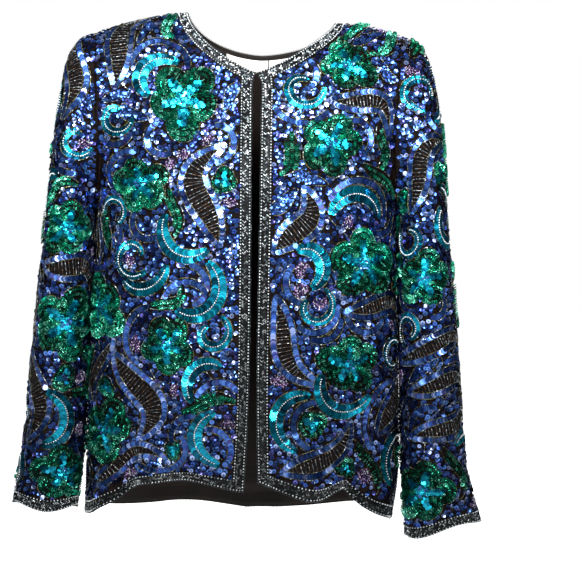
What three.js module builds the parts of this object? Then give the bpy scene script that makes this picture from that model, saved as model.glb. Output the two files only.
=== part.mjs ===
import * as THREE from 'three';

// A beaded evening jacket that hangs filled out, open down the front. Millimetres, +Z up.
// The front faces -Y and the wearer's left is +X. The origin lies between the two neck points,
// where the jacket is held up.

const clothWall = 1.6;
const seamGap = 0.3;
const trimWidth = 13.5;
const trimWall = 1.2;
const liningWall = 0.8;
const labelWall = 0.6;
const ventTop = 0.14;
const ventSpread = 7;
const shoulderArch = 4;
const neckShare = 0.5;
const frontRoundness = 0.58;
const sideRoundness = 0.62;
const armholeDepth = 58;
const armholeBlendFrom = 0.78;
const stepShare = 1e-3;

const colours = {
  beadedCloth: '#1c2f78',
  beadedBand: '#3d444c',
  lining: '#12100f',
  label: '#d9d6cf',
};

// The long edges below the armholes. h runs from the hem, 0, to the level of the underarm, 1.
const frontEdge = {
  right: [
    { h: 0, x: -5, y: -97, z: -613 },
    { h: 0.3, x: 1, y: -100, z: -505 },
    { h: 0.65, x: 3.5, y: -101, z: -375 },
    { h: 1, x: 4.5, y: -98, z: -240 },
  ],
  left: [
    { h: 0, x: 13, y: -97, z: -601 },
    { h: 0.3, x: 12, y: -100, z: -500 },
    { h: 0.65, x: 13.5, y: -101, z: -372 },
    { h: 1, x: 16.3, y: -98, z: -240 },
  ],
};

const backLine = [
  { h: 0, x: -8, y: 96, z: -666 },
  { h: 0.3, x: -7, y: 94, z: -540 },
  { h: 0.65, x: -3, y: 90, z: -390 },
  { h: 1, x: 4, y: 97, z: -240 },
];

const sideSeam = {
  right: [
    { h: 0, x: -214, z: -643 },
    { h: 0.3, x: -212, z: -525 },
    { h: 0.65, x: -205, z: -385 },
    { h: 1, x: -199, z: -262 },
  ],
  left: [
    { h: 0, x: 184.5, z: -648 },
    { h: 0.1, x: 191.5, z: -609 },
    { h: 0.3, x: 195, z: -527 },
    { h: 0.65, x: 192, z: -386 },
    { h: 1, x: 191, z: -262 },
  ],
};

const armhole = {
  right: { topX: -200, topZ: -26, lowX: -199, lowZ: -262, dish: 5 },
  left: { topX: 197, topZ: -30, lowX: 191, lowZ: -262, dish: 5 },
};

// The neckline of each panel: a curve from the middle, by two handles, to the neck point.
const neckline = {
  front: {
    right: [[4.9, -72, -89.5], [-25, -66, -72], [-74, -45, -38], [-83, 0, 2.6]],
    left: [[17.8, -72, -89.5], [45, -66, -74], [104, -44, -38], [114, 0, -12]],
  },
  back: {
    right: [[14, 66, -41.5], [-20, 66, -39.5], [-72, 50, -27], [-83, 0, 2.6]],
    left: [[14, 66, -41.5], [50, 66, -40.5], [104, 50, -31], [114, 0, -12]],
  },
};

// The two fronts are held together at the corner of the neckline.
const cornerPull = { right: 4.8, left: -7.3, from: 1.86, reach: 0.12 };

// How a panel rises from the underarm to the neckline and shoulder. u runs from the middle, 0,
// to the side, 1. The low and top handles stand out from the body in mm and rise by a share,
// and the top one also lies topSide mm nearer to the arm.
const upperForm = [
  { u: 0, lowOut: 0, lowRise: 0.36, topOut: 10, topSide: 0, topRise: 0.3 },
  { u: 0.25, lowOut: 0, lowRise: 0.4, topOut: 20, topSide: 22, topRise: 0.22 },
  { u: 0.4, lowOut: 1, lowRise: 0.46, topOut: 32, topSide: 32, topRise: 0.13 },
  { u: 0.5, lowOut: 3, lowRise: 0.5, topOut: 46, topSide: 28, topRise: 0.07 },
  { u: 0.62, lowOut: 7, lowRise: 0.48, topOut: 60, topSide: 12, topRise: 0.03 },
  { u: 0.75, lowOut: 14, lowRise: 0.45, topOut: 66, topSide: 2, topRise: 0.02 },
  { u: 0.9, lowOut: 40, lowRise: 0.28, topOut: 70, topSide: 0, topRise: 0 },
  { u: 1, lowOut: 77, lowRise: 0, topOut: 77, topSide: 0, topRise: 0 },
];

// How far the hem hangs below the straight line between its two ends.
const hemReach = 0.42;
const hemDrop = {
  front: {
    right: [
      { u: 0, drop: 0 },
      { u: 0.05, drop: -3 },
      { u: 0.19, drop: -16 },
      { u: 0.3, drop: -23 },
      { u: 0.45, drop: -22 },
      { u: 0.6, drop: -18 },
      { u: 0.67, drop: -3 },
      { u: 0.8, drop: 11 },
      { u: 0.92, drop: 12 },
      { u: 1, drop: 4 },
    ],
    left: [
      { u: 0, drop: 0 },
      { u: 0.16, drop: 6 },
      { u: 0.28, drop: 10 },
      { u: 0.38, drop: 4 },
      { u: 0.46, drop: -7 },
      { u: 0.53, drop: -13 },
      { u: 0.58, drop: -6 },
      { u: 0.65, drop: 8 },
      { u: 0.79, drop: 18 },
      { u: 0.92, drop: 15 },
      { u: 1, drop: 9 },
    ],
  },
  back: {
    right: [
      { u: 0, drop: 0 },
      { u: 0.35, drop: -3 },
      { u: 0.7, drop: 4 },
      { u: 1, drop: 0 },
    ],
    left: [
      { u: 0, drop: 0 },
      { u: 0.35, drop: 3 },
      { u: 0.7, drop: -3 },
      { u: 1, drop: 0 },
    ],
  },
};

// The soft upright folds that open towards the hem. at and width are shares of the panel's
// breadth, depth is outwards in mm, and top is the height where the fold has died away.
const folds = {
  front: {
    right: [
      { at: 0.18, width: 0.07, depth: 3, top: 0.7 },
      { at: 0.42, width: 0.08, depth: -5, top: 0.8 },
      { at: 0.6, width: 0.05, depth: -7, top: 0.6 },
      { at: 0.76, width: 0.07, depth: 7, top: 0.7 },
    ],
    left: [
      { at: 0.1, width: 0.06, depth: -4, top: 0.6 },
      { at: 0.3, width: 0.08, depth: 7, top: 0.8 },
      { at: 0.57, width: 0.07, depth: -8, top: 0.7 },
      { at: 0.8, width: 0.07, depth: 5, top: 0.6 },
    ],
  },
  back: {
    right: [
      { at: 0.25, width: 0.09, depth: 6, top: 0.9 },
      { at: 0.55, width: 0.09, depth: -6, top: 0.8 },
      { at: 0.8, width: 0.06, depth: 4, top: 0.6 },
    ],
    left: [
      { at: 0.2, width: 0.08, depth: -5, top: 0.8 },
      { at: 0.48, width: 0.09, depth: 6, top: 0.9 },
      { at: 0.75, width: 0.07, depth: -5, top: 0.7 },
    ],
  },
};

// A sleeve's sections, from the armhole to the cuff. Each is an oval between its inner and its
// outer point, in the plane through both of them and the Y direction.
const sleeveRings = {
  right: [
    { along: 0, inX: -199.3, inZ: -262, outX: -200.3, outZ: -26, midY: 0, halfY: 58.2, dish: 5 },
    { along: 25, inX: -203, inZ: -267, outX: -220, outZ: -32, midY: 0, halfY: 60, dish: 4 },
    { along: 50, inX: -204, inZ: -273, outX: -237, outZ: -57, midY: -1, halfY: 62, dish: 3 },
    { along: 80, inX: -204.5, inZ: -281, outX: -247, outZ: -108, midY: -2, halfY: 64, dish: 1 },
    { along: 110, inX: -205, inZ: -291, outX: -255, outZ: -168, midY: -3, halfY: 65, dish: 0 },
    { along: 140, inX: -205.5, inZ: -305, outX: -262, outZ: -235, midY: -3, halfY: 65, dish: 0 },
    { along: 175, inX: -206.5, inZ: -326, outX: -269, outZ: -300, midY: -3, halfY: 63, dish: 0 },
    { along: 230, inX: -208.8, inZ: -380, outX: -279, outZ: -374, midY: 2, halfY: 60, dish: 0 },
    { along: 310, inX: -212.8, inZ: -455, outX: -288, outZ: -453, midY: 6, halfY: 55, dish: 0 },
    { along: 390, inX: -215.5, inZ: -528, outX: -293, outZ: -528, midY: -4, halfY: 49, dish: 0 },
    { along: 450, inX: -218, inZ: -586, outX: -298, outZ: -584, midY: -20, halfY: 43, dish: 0 },
    { along: 505, inX: -223, inZ: -642, outX: -302, outZ: -634, midY: -38, halfY: 38, dish: 0 },
  ],
  left: [
    { along: 0, inX: 191.3, inZ: -262, outX: 197.3, outZ: -30, midY: 0, halfY: 58.2, dish: 5 },
    { along: 25, inX: 196, inZ: -268, outX: 214, outZ: -37, midY: 0, halfY: 60, dish: 4 },
    { along: 50, inX: 197, inZ: -275, outX: 232, outZ: -57, midY: -1, halfY: 62, dish: 2 },
    { along: 80, inX: 196.5, inZ: -283, outX: 243, outZ: -102, midY: -2, halfY: 64, dish: 1 },
    { along: 110, inX: 196, inZ: -294, outX: 251, outZ: -158, midY: -3, halfY: 65, dish: 0 },
    { along: 140, inX: 195.8, inZ: -309, outX: 255, outZ: -225, midY: -4, halfY: 64, dish: 0 },
    { along: 175, inX: 195.8, inZ: -330, outX: 260, outZ: -295, midY: -5, halfY: 62, dish: 0 },
    { along: 230, inX: 196.3, inZ: -388, outX: 267, outZ: -376, midY: -6, halfY: 58, dish: 0 },
    { along: 310, inX: 198, inZ: -462, outX: 273, outZ: -456, midY: -8, halfY: 51, dish: 0 },
    { along: 390, inX: 199, inZ: -538, outX: 278, outZ: -530, midY: -10, halfY: 43, dish: 0 },
    { along: 450, inX: 199, inZ: -606, outX: 284, outZ: -596, midY: -13, halfY: 36, dish: 0 },
    { along: 520, inX: 204, inZ: -683, outX: 300, outZ: -660, midY: -18, halfY: 30, dish: 0 },
  ],
};

const sleeveSides = 20;
const sleeveSteps = 20;

// Shares of a panel's breadth and height where its grid lines lie, apart from those of the trim.
const innerColumns = [0.13, 0.22, 0.31, 0.4, neckShare, 0.6, 0.7, 0.79, 0.87];
const lowerRows = [0.08, ventTop, 0.22, 0.3, 0.4, 0.5, 0.6, 0.7, 0.8, 0.9, 1];
const upperRows = [1.1, 1.2, 1.3, 1.4, 1.5, 1.6, 1.7, 1.8];

// The two tabs lie on the lining below the back of the neck. Their places are counted in grid
// lines from the middle of the back, and in grid rows down from the neckline.
const tabs = {
  label: { from: -1.5, to: 0.25, lineStep: 0.25, top: 0.5, bottom: 1.5 },
  size_tab: { from: 0.3, to: 1.1, lineStep: 0.2, top: 0.5, bottom: 1.5 },
};
const tabRowStep = 0.5;

function slopeAt(rows, index, key, column) {
  const before = rows[Math.max(index - 1, 0)];
  const after = rows[Math.min(index + 1, rows.length - 1)];
  return (after[column] - before[column]) / (after[key] - before[key]);
}

// All columns of a table at a place between its rows, on smooth curves through them.
function readTable(rows, key, at) {
  let next = 1;
  while (next < rows.length - 1 && at > rows[next][key]) next += 1;
  const low = rows[next - 1];
  const high = rows[next];
  const span = high[key] - low[key];
  const share = (at - low[key]) / span;
  const square = share * share;
  const cube = square * share;
  const found = {};
  for (const column of Object.keys(low)) {
    const leaving = slopeAt(rows, next - 1, key, column) * span;
    const arriving = slopeAt(rows, next, key, column) * span;
    found[column] = low[column] * (2 * cube - 3 * square + 1) + high[column] * (3 * square - 2 * cube)
      + leaving * (cube - 2 * square + share) + arriving * (cube - square);
  }
  return found;
}

function fadeOut(value, end) {
  return Math.max(0, 1 - value / end) ** 2;
}

// A point of the armhole. turn goes from the underarm, 0, to the shoulder's tip, 1.
function armholePoint(side, facing, turn) {
  const hole = armhole[side];
  const angle = Math.PI * (1 - turn);
  const up = (1 + Math.cos(angle)) / 2;
  const out = Math.sin(angle);
  const inwards = hole.dish * out * out * Math.sign(hole.topX);
  return new THREE.Vector3(
    THREE.MathUtils.lerp(hole.lowX, hole.topX, up) - inwards,
    facing * (seamGap / 2 + armholeDepth * out),
    THREE.MathUtils.lerp(hole.lowZ, hole.topZ, up),
  );
}

// The level curve of a panel below the armholes, from the middle round to the side seam.
function levelCurve(panel, side, facing, h) {
  const middle = readTable(panel === 'front' ? frontEdge[side] : backLine, 'h', h);
  const seam = readTable(sideSeam[side], 'h', h);
  const seamY = facing * (seamGap / 2 + ventSpread * fadeOut(h, ventTop));
  const from = new THREE.Vector3(middle.x, middle.y, middle.z);
  const to = new THREE.Vector3(seam.x, seamY, seam.z);
  const fromHandle = from.clone().lerp(to, frontRoundness).setY(from.y);
  const toHandle = to.clone().setY(THREE.MathUtils.lerp(to.y, from.y, sideRoundness));
  toHandle.z = THREE.MathUtils.lerp(to.z, from.z, 1 - frontRoundness);
  return new THREE.CubicBezierCurve3(from, fromHandle, toHandle, to);
}

// The top edge of a panel: its neckline, and then its shoulder seam out to the tip.
function topPoint(panel, side, facing, u) {
  const [start, startHandle, endHandle, neckPoint] = neckline[panel][side].map(
    (place) => new THREE.Vector3(...place),
  );
  neckPoint.y = facing * seamGap / 2;
  if (u <= neckShare) {
    const curve = new THREE.CubicBezierCurve3(start, startHandle, endHandle, neckPoint);
    return curve.getPointAt(u / neckShare);
  }
  const along = (u - neckShare) / (1 - neckShare);
  neckPoint.lerp(armholePoint(side, facing, 1), along);
  neckPoint.z += shoulderArch * Math.sin(Math.PI * along);
  return neckPoint;
}

function upperPoint(panel, side, facing, u, rise) {
  const from = levelCurve(panel, side, facing, 1).getPointAt(u);
  const to = topPoint(panel, side, facing, u);
  const form = readTable(upperForm, 'u', u);
  const height = to.z - from.z;
  const fromHandle = from.clone().add(new THREE.Vector3(0, facing * form.lowOut, height * form.lowRise));
  const outwards = Math.sign(armhole[side].topX);
  const toHandle = to.clone();
  toHandle.add(new THREE.Vector3(outwards * form.topSide, facing * form.topOut, -height * form.topRise));
  return new THREE.CubicBezierCurve3(from, fromHandle, toHandle, to).getPoint(rise);
}

// A point of a panel's outer face. u goes from the middle to the side, and h from the hem, 0,
// over the underarm, 1, to the neckline and shoulder, 2.
function panelPoint(panel, side, u, h) {
  const facing = panel === 'front' ? -1 : 1;
  if (h <= 1) {
    const point = levelCurve(panel, side, facing, h).getPointAt(u);
    point.z -= readTable(hemDrop[panel][side], 'u', u).drop * fadeOut(h, hemReach);
    const outwards = new THREE.Vector3(point.x, point.y, 0).normalize();
    for (const fold of folds[panel][side]) {
      const beside = (u - fold.at) / fold.width;
      point.addScaledVector(outwards, fold.depth * Math.exp(-beside * beside) * fadeOut(h, fold.top));
    }
    return point;
  }
  const rise = h - 1;
  const point = upperPoint(panel, side, facing, u, rise);
  if (u > armholeBlendFrom) {
    const pull = armholePoint(side, facing, rise).sub(upperPoint(panel, side, facing, 1, rise));
    point.addScaledVector(pull, THREE.MathUtils.smoothstep(u, armholeBlendFrom, 1));
  }
  if (panel === 'front' && h > cornerPull.from) {
    const near = (h - cornerPull.from) / (2 - cornerPull.from);
    point.x += cornerPull[side] * near * near * fadeOut(u, cornerPull.reach);
  }
  return point;
}

// The back runs from the right side seam, -1, over its middle, 0, to the left one, 1.
function backPoint(u, h) {
  return panelPoint('back', u < 0 ? 'right' : 'left', Math.abs(u), h);
}

function sleevePoint(side, around, along) {
  const ring = readTable(sleeveRings[side], 'along', along);
  const outwards = (1 + Math.cos(around)) / 2;
  const across = Math.sin(around);
  const inwards = ring.dish * across * across * Math.sign(ring.outX);
  return new THREE.Vector3(
    THREE.MathUtils.lerp(ring.inX, ring.outX, outwards) - inwards,
    ring.midY + ring.halfY * across,
    THREE.MathUtils.lerp(ring.inZ, ring.outZ, outwards),
  );
}

// The two directions along a surface at a point. A panel has a corner at the underarm, so
// the way up is taken from below there.
function directions(surface, u, h) {
  const up = h === 1 ? h : h + stepShare;
  const acrossIt = surface(u + stepShare, h).sub(surface(u - stepShare, h));
  const upIt = surface(u, up).sub(surface(u, h - stepShare));
  return { across: acrossIt.divideScalar(2 * stepShare), up: upIt.divideScalar(up - h + stepShare) };
}

// The surface carried straight on past its edges, so that directions can be taken there.
function carriedOn(point, lowU) {
  return (u, h) => {
    const insideU = THREE.MathUtils.clamp(u, lowU, 1);
    const insideH = THREE.MathUtils.clamp(h, 0, 2);
    const inside = point(insideU, insideH);
    if (insideU === u && insideH === h) return inside;
    return inside.multiplyScalar(2).sub(point(2 * insideU - u, 2 * insideH - h));
  };
}

// The share of a panel's breadth or height that the trim's width takes up beside an edge.
function trimShareAcross(surface, u, h) {
  const { across, up } = directions(surface, u, h);
  return trimWidth / across.cross(up.normalize()).length();
}

function trimShareUp(surface, u, h) {
  const { across, up } = directions(surface, u, h);
  return trimWidth / up.cross(across.normalize()).length();
}

// The grid of a panel: for each line up and each line across, its point and the way out.
function panelGrid(surface, lines, rows, handed) {
  return rows.map((row) => lines.map((line) => {
    const u = line(row.h);
    const h = row.at(u);
    const place = surface(u, h);
    const { across, up } = directions(surface, u, h);
    const out = across.cross(up).multiplyScalar(handed);
    const onSideSeam = Math.abs(u) === 1 && h <= 1;
    const onShoulder = h === 2 && Math.abs(u) >= neckShare;
    if (onSideSeam || onShoulder) out.y = 0;
    return { place, out: out.normalize() };
  }));
}

function frontGrid(side) {
  const surface = carriedOn((u, h) => panelPoint('front', side, u, h), 0);
  const lines = [
    () => 0,
    (h) => trimShareAcross(surface, 0, Math.min(h, cornerPull.from)),
    ...innerColumns.map((u) => () => u),
    (h) => 1 - trimShareAcross(surface, 1, Math.min(h, ventTop)),
    () => 1,
  ];
  return panelGrid(surface, lines, panelRows(surface), side === 'left' ? 1 : -1);
}

function backGrid() {
  const surface = carriedOn(backPoint, -1);
  const sideLine = (sign) => (h) => sign * (1 - trimShareAcross(surface, sign, Math.min(h, ventTop)));
  const lines = [
    () => -1,
    sideLine(-1),
    ...innerColumns.toReversed().map((u) => () => -u),
    () => 0,
    ...innerColumns.map((u) => () => u),
    sideLine(1),
    () => 1,
  ];
  return panelGrid(surface, lines, panelRows(surface), -1);
}

function panelRows(surface) {
  return [
    { h: 0, at: () => 0 },
    { h: 0, at: (u) => trimShareUp(surface, u, 0) },
    ...[...lowerRows, ...upperRows].map((h) => ({ h, at: () => h })),
    { h: 2, at: (u) => 2 - trimShareUp(surface, u, 2) },
    { h: 2, at: () => 2 },
  ];
}

// A sleeve's grid goes once round, so its first and its last line are the same points.
function sleeveGrid(side) {
  const rings = sleeveRings[side];
  const end = rings[rings.length - 1].along;
  const surface = (around, along) => sleevePoint(side, around, along);
  const trimStart = 1 - trimWidth / end;
  const shares = [...Array(sleeveSteps).keys()].map((step) => trimStart * step / (sleeveSteps - 1));
  return [...shares, 1].map((share) => [...Array(sleeveSides).keys()].map((step) => {
    const around = 2 * Math.PI * step / sleeveSides;
    const { across, up } = directions(surface, around, share * end);
    const out = across.cross(up).multiplyScalar(side === 'left' ? 1 : -1);
    if (share === 0) out.x = 0;
    return { place: surface(around, share * end), out: out.normalize() };
  }));
}

function steps(from, to, step) {
  const count = Math.round((to - from) / step);
  return [...Array(count + 1).keys()].map((index) => from + index * step);
}

// The point of a grid at a place between its rows and lines.
function betweenPoints(grid, row, line) {
  const low = Math.min(Math.floor(row), grid.length - 2);
  const left = Math.min(Math.floor(line), grid[0].length - 2);
  const mixed = (part) => {
    const below = grid[low][left][part].clone().lerp(grid[low][left + 1][part], line - left);
    const above = grid[low + 1][left][part].clone().lerp(grid[low + 1][left + 1][part], line - left);
    return below.lerp(above, row - low);
  };
  return { place: mixed('place'), out: mixed('out').normalize() };
}

function gridCells(grid, closed, wanted) {
  const cells = [];
  for (let row = 0; row < grid.length - 1; row += 1) {
    const count = closed ? grid[row].length : grid[row].length - 1;
    for (let line = 0; line < count; line += 1) {
      if (wanted(row, line)) cells.push({ row, line, next: (line + 1) % grid[row].length });
    }
  }
  return cells;
}

// One closed wall over some cells of a grid, from an inner to an outer distance off its points.
function wall(grid, cells, inner, outer) {
  const width = grid[0].length;
  const positions = [];
  const numbers = new Map();
  const triangles = [];
  const edges = new Map();
  const pointNumber = (row, line, distance) => {
    const key = (row * width + line) * 2 + (distance === outer ? 1 : 0);
    if (!numbers.has(key)) {
      const { place, out } = grid[row][line];
      numbers.set(key, positions.length / 3);
      positions.push(...place.clone().addScaledVector(out, distance).toArray());
    }
    return numbers.get(key);
  };
  for (const { row, line, next } of cells) {
    const corners = [[row, line], [row, next], [row + 1, next], [row + 1, line]];
    const places = corners.map(([r, l]) => grid[r][l].place);
    const split = places[0].distanceTo(places[2]) <= places[1].distanceTo(places[3]) ? 0 : 1;
    const turned = [0, 1, 2, 3].map((corner) => corners[(corner + split) % 4]);
    const [a, b, c, d] = turned.map(([r, l]) => pointNumber(r, l, outer));
    const [e, f, g, k] = turned.map(([r, l]) => pointNumber(r, l, inner));
    triangles.push([a, b, c], [a, c, d], [e, g, f], [e, k, g]);
    for (let corner = 0; corner < 4; corner += 1) {
      const [from, to] = [turned[corner], turned[(corner + 1) % 4]];
      const reverse = `${to}>${from}`;
      if (edges.has(reverse)) edges.delete(reverse);
      else edges.set(`${from}>${to}`, [from, to]);
    }
  }
  for (const [from, to] of edges.values()) {
    const [a, b] = [pointNumber(...from, outer), pointNumber(...to, outer)];
    const [c, d] = [pointNumber(...to, inner), pointNumber(...from, inner)];
    triangles.push([a, c, b], [a, d, c]);
  }
  return closedGeometry(positions, triangles);
}

// The faces are turned over if the volume that they enclose comes out negative.
function closedGeometry(positions, triangles) {
  const corner = (index) => new THREE.Vector3().fromArray(positions, index * 3);
  let volume = 0;
  for (const [a, b, c] of triangles) volume += corner(a).dot(corner(b).cross(corner(c)));
  const faces = volume > 0 ? triangles : triangles.map(([a, b, c]) => [a, c, b]);
  const geometry = new THREE.BufferGeometry();
  geometry.setAttribute('position', new THREE.Float32BufferAttribute(positions, 3));
  geometry.setIndex(faces.flat());
  geometry.computeVertexNormals();
  return geometry;
}

function addPiece(group, name, geometry, colour, roughness, metalness) {
  const material = new THREE.MeshStandardMaterial({ color: colour, roughness, metalness });
  const mesh = new THREE.Mesh(geometry, material);
  mesh.name = name;
  group.add(mesh);
}

function addCloth(group, name, geometry) {
  addPiece(group, name, geometry, colours.beadedCloth, 0.3, 0.2);
}

// The band lies on the cloth, made from the cloth's own points and moved out.
function addTrim(group, name, grid, cells) {
  const geometry = wall(grid, cells, seamGap, seamGap + trimWall);
  addPiece(group, name, geometry, colours.beadedBand, 0.35, 0.5);
}

function addFront(group, side) {
  const grid = frontGrid(side);
  const lastRow = grid.length - 2;
  const lastLine = grid[0].length - 2;
  const neckLine = innerColumns.indexOf(neckShare) + 1;
  const ventRow = lowerRows.indexOf(ventTop) + 1;
  addCloth(group, `front_${side}`, wall(grid, gridCells(grid, false, () => true), -clothWall, 0));
  const trimCells = gridCells(grid, false, (row, line) => line === 0 || row === 0
    || (row === lastRow && line <= neckLine) || (line === lastLine && row <= ventRow));
  addTrim(group, `trim_front_${side}`, grid, trimCells);
}

function addBack(group) {
  const grid = backGrid();
  const lastRow = grid.length - 2;
  const lastLine = grid[0].length - 2;
  const middle = (lastLine + 1) / 2;
  const neckLines = innerColumns.indexOf(neckShare) + 1;
  const ventRow = lowerRows.indexOf(ventTop) + 1;
  addCloth(group, 'back', wall(grid, gridCells(grid, false, () => true), -clothWall, 0));
  const neckCells = gridCells(grid, false, (row, line) => row === lastRow
    && line >= middle - neckLines && line < middle + neckLines);
  addTrim(group, 'trim_back_neck', grid, neckCells);
  const hemCells = gridCells(grid, false, (row, line) => row === 0
    || (row <= ventRow && (line === 0 || line === lastLine)));
  addTrim(group, 'trim_back_hem', grid, hemCells);
  addBackLining(group, grid, lastLine);
}

function addBackLining(group, grid, lastLine) {
  const outer = -clothWall - seamGap;
  const inner = outer - liningWall;
  const cells = gridCells(grid, false, (row, line) => row > 0 && line > 1 && line < lastLine - 1);
  addPiece(group, 'lining_back', wall(grid, cells, inner, outer), colours.lining, 0.8, 0);
  const middle = (lastLine + 1) / 2;
  for (const [name, tab] of Object.entries(tabs)) {
    const tabGrid = steps(grid.length - 1 - tab.bottom, grid.length - 1 - tab.top, tabRowStep).map(
      (row) => steps(middle + tab.from, middle + tab.to, tab.lineStep).map(
        (line) => betweenPoints(grid, row, line),
      ),
    );
    const tabOuter = inner - seamGap;
    const geometry = wall(tabGrid, gridCells(tabGrid, false, () => true), tabOuter - labelWall, tabOuter);
    addPiece(group, name, geometry, colours.label, 0.7, 0);
  }
}

function addSleeve(group, side) {
  const grid = sleeveGrid(side);
  addCloth(group, `sleeve_${side}`, wall(grid, gridCells(grid, true, () => true), -clothWall, 0));
  const lastRow = grid.length - 2;
  addTrim(group, `trim_cuff_${side}`, grid, gridCells(grid, true, (row) => row === lastRow));
}

const jacket = new THREE.Group();
for (const side of ['right', 'left']) {
  addFront(jacket, side);
  addSleeve(jacket, side);
}
addBack(jacket);

export default jacket;
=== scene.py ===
import math

import bmesh
import bpy
import numpy as np
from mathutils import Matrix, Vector
from mathutils.bvhtree import BVHTree


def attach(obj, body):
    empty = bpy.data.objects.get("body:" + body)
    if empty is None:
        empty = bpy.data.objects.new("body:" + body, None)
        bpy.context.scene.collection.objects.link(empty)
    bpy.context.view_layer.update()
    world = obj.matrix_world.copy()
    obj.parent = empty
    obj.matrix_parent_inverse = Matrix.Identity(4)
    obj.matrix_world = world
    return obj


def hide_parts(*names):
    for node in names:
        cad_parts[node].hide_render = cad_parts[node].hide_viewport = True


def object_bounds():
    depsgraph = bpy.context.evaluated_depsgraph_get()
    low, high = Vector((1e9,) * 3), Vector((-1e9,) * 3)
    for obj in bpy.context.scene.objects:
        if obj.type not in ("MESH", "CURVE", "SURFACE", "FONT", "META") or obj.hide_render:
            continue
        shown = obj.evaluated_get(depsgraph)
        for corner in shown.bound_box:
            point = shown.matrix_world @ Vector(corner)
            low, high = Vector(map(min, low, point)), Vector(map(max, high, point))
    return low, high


# A collarless evening jacket, embroidered all over with sequins and beads, filled out and hollow.
# Tables are in mm with the front facing -Y. Meshes are in metres.

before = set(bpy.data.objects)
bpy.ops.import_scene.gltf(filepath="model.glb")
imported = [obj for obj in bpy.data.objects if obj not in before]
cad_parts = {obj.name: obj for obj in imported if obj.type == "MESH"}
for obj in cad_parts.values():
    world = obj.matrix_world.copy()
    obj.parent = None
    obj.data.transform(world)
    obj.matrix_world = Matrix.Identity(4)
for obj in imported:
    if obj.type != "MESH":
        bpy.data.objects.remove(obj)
cadBox = [list(corner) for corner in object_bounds()]
metre = 0.001
up = np.array([0.0, 0.0, 1.0])
print("frame loaded")


# The form of the cut pieces, as in the solids

cut = {
    "ventTop": 0.14, "ventSpread": 7, "seamGap": 0.3, "shoulderArch": 4, "neckShare": 0.5,
    "frontRoundness": 0.58, "sideRoundness": 0.62, "armholeDepth": 58, "armholeBlend": 0.78,
    "hemReach": 0.42, "cornerFrom": 1.86, "cornerReach": 0.12, "cornerPull": {"right": 4.8, "left": -7.3},
    "clothWall": 1.6, "trimWidth": 13.5, "trimWall": 1.2, "liningWall": 0.8, "labelWall": 0.6,
}

# height share, x, y, z
frontEdge = {
    "right": ((0, -5, -97, -613), (0.3, 1, -100, -505), (0.65, 3.5, -101, -375), (1, 4.5, -98, -240)),
    "left": ((0, 13, -97, -601), (0.3, 12, -100, -500), (0.65, 13.5, -101, -372), (1, 16.3, -98, -240)),
}
backLine = ((0, -8, 96, -666), (0.3, -7, 94, -540), (0.65, -3, 90, -390), (1, 4, 97, -240))

# height share, x, z
sideSeam = {
    "right": ((0, -214, -643), (0.3, -212, -525), (0.65, -205, -385), (1, -199, -262)),
    "left": ((0, 184.5, -648), (0.1, 191.5, -609), (0.3, 195, -527), (0.65, 192, -386), (1, 191, -262)),
}
armhole = {
    "right": {"topX": -200, "topZ": -26, "lowX": -199, "lowZ": -262, "dish": 5},
    "left": {"topX": 197, "topZ": -30, "lowX": 191, "lowZ": -262, "dish": 5},
}
neckline = {
    "front": {
        "right": ((4.9, -72, -89.5), (-25, -66, -72), (-74, -45, -38), (-83, 0, 2.6)),
        "left": ((17.8, -72, -89.5), (45, -66, -74), (104, -44, -38), (114, 0, -12)),
    },
    "back": {
        "right": ((14, 66, -41.5), (-20, 66, -39.5), (-72, 50, -27), (-83, 0, 2.6)),
        "left": ((14, 66, -41.5), (50, 66, -40.5), (104, 50, -31), (114, 0, -12)),
    },
}

# across share, low handle out and rise, top handle out, to the side and rise
upperForm = (
    (0, 0, 0.36, 10, 0, 0.3), (0.25, 0, 0.4, 20, 22, 0.22), (0.4, 1, 0.46, 32, 32, 0.13),
    (0.5, 3, 0.5, 46, 28, 0.07), (0.62, 7, 0.48, 60, 12, 0.03), (0.75, 14, 0.45, 66, 2, 0.02),
    (0.9, 40, 0.28, 70, 0, 0), (1, 77, 0, 77, 0, 0),
)

# across share, drop of the hem
hemDrop = {
    "front": {
        "right": ((0, 0), (0.05, -3), (0.19, -16), (0.3, -23), (0.45, -22), (0.6, -18), (0.67, -3),
                  (0.8, 11), (0.92, 12), (1, 4)),
        "left": ((0, 0), (0.16, 6), (0.28, 10), (0.38, 4), (0.46, -7), (0.53, -13), (0.58, -6),
                 (0.65, 8), (0.79, 18), (0.92, 15), (1, 9)),
    },
    "back": {
        "right": ((0, 0), (0.35, -3), (0.7, 4), (1, 0)),
        "left": ((0, 0), (0.35, 3), (0.7, -3), (1, 0)),
    },
}

# across share, width, depth, height where it has died away
folds = {
    "front": {
        "right": ((0.18, 0.07, 3, 0.7), (0.42, 0.08, -5, 0.8), (0.6, 0.05, -7, 0.6), (0.76, 0.07, 7, 0.7)),
        "left": ((0.1, 0.06, -4, 0.6), (0.3, 0.08, 7, 0.8), (0.57, 0.07, -8, 0.7), (0.8, 0.07, 5, 0.6)),
    },
    "back": {
        "right": ((0.25, 0.09, 6, 0.9), (0.55, 0.09, -6, 0.8), (0.8, 0.06, 4, 0.6)),
        "left": ((0.2, 0.08, -5, 0.8), (0.48, 0.09, 6, 0.9), (0.75, 0.07, -5, 0.7)),
    },
}

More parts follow.
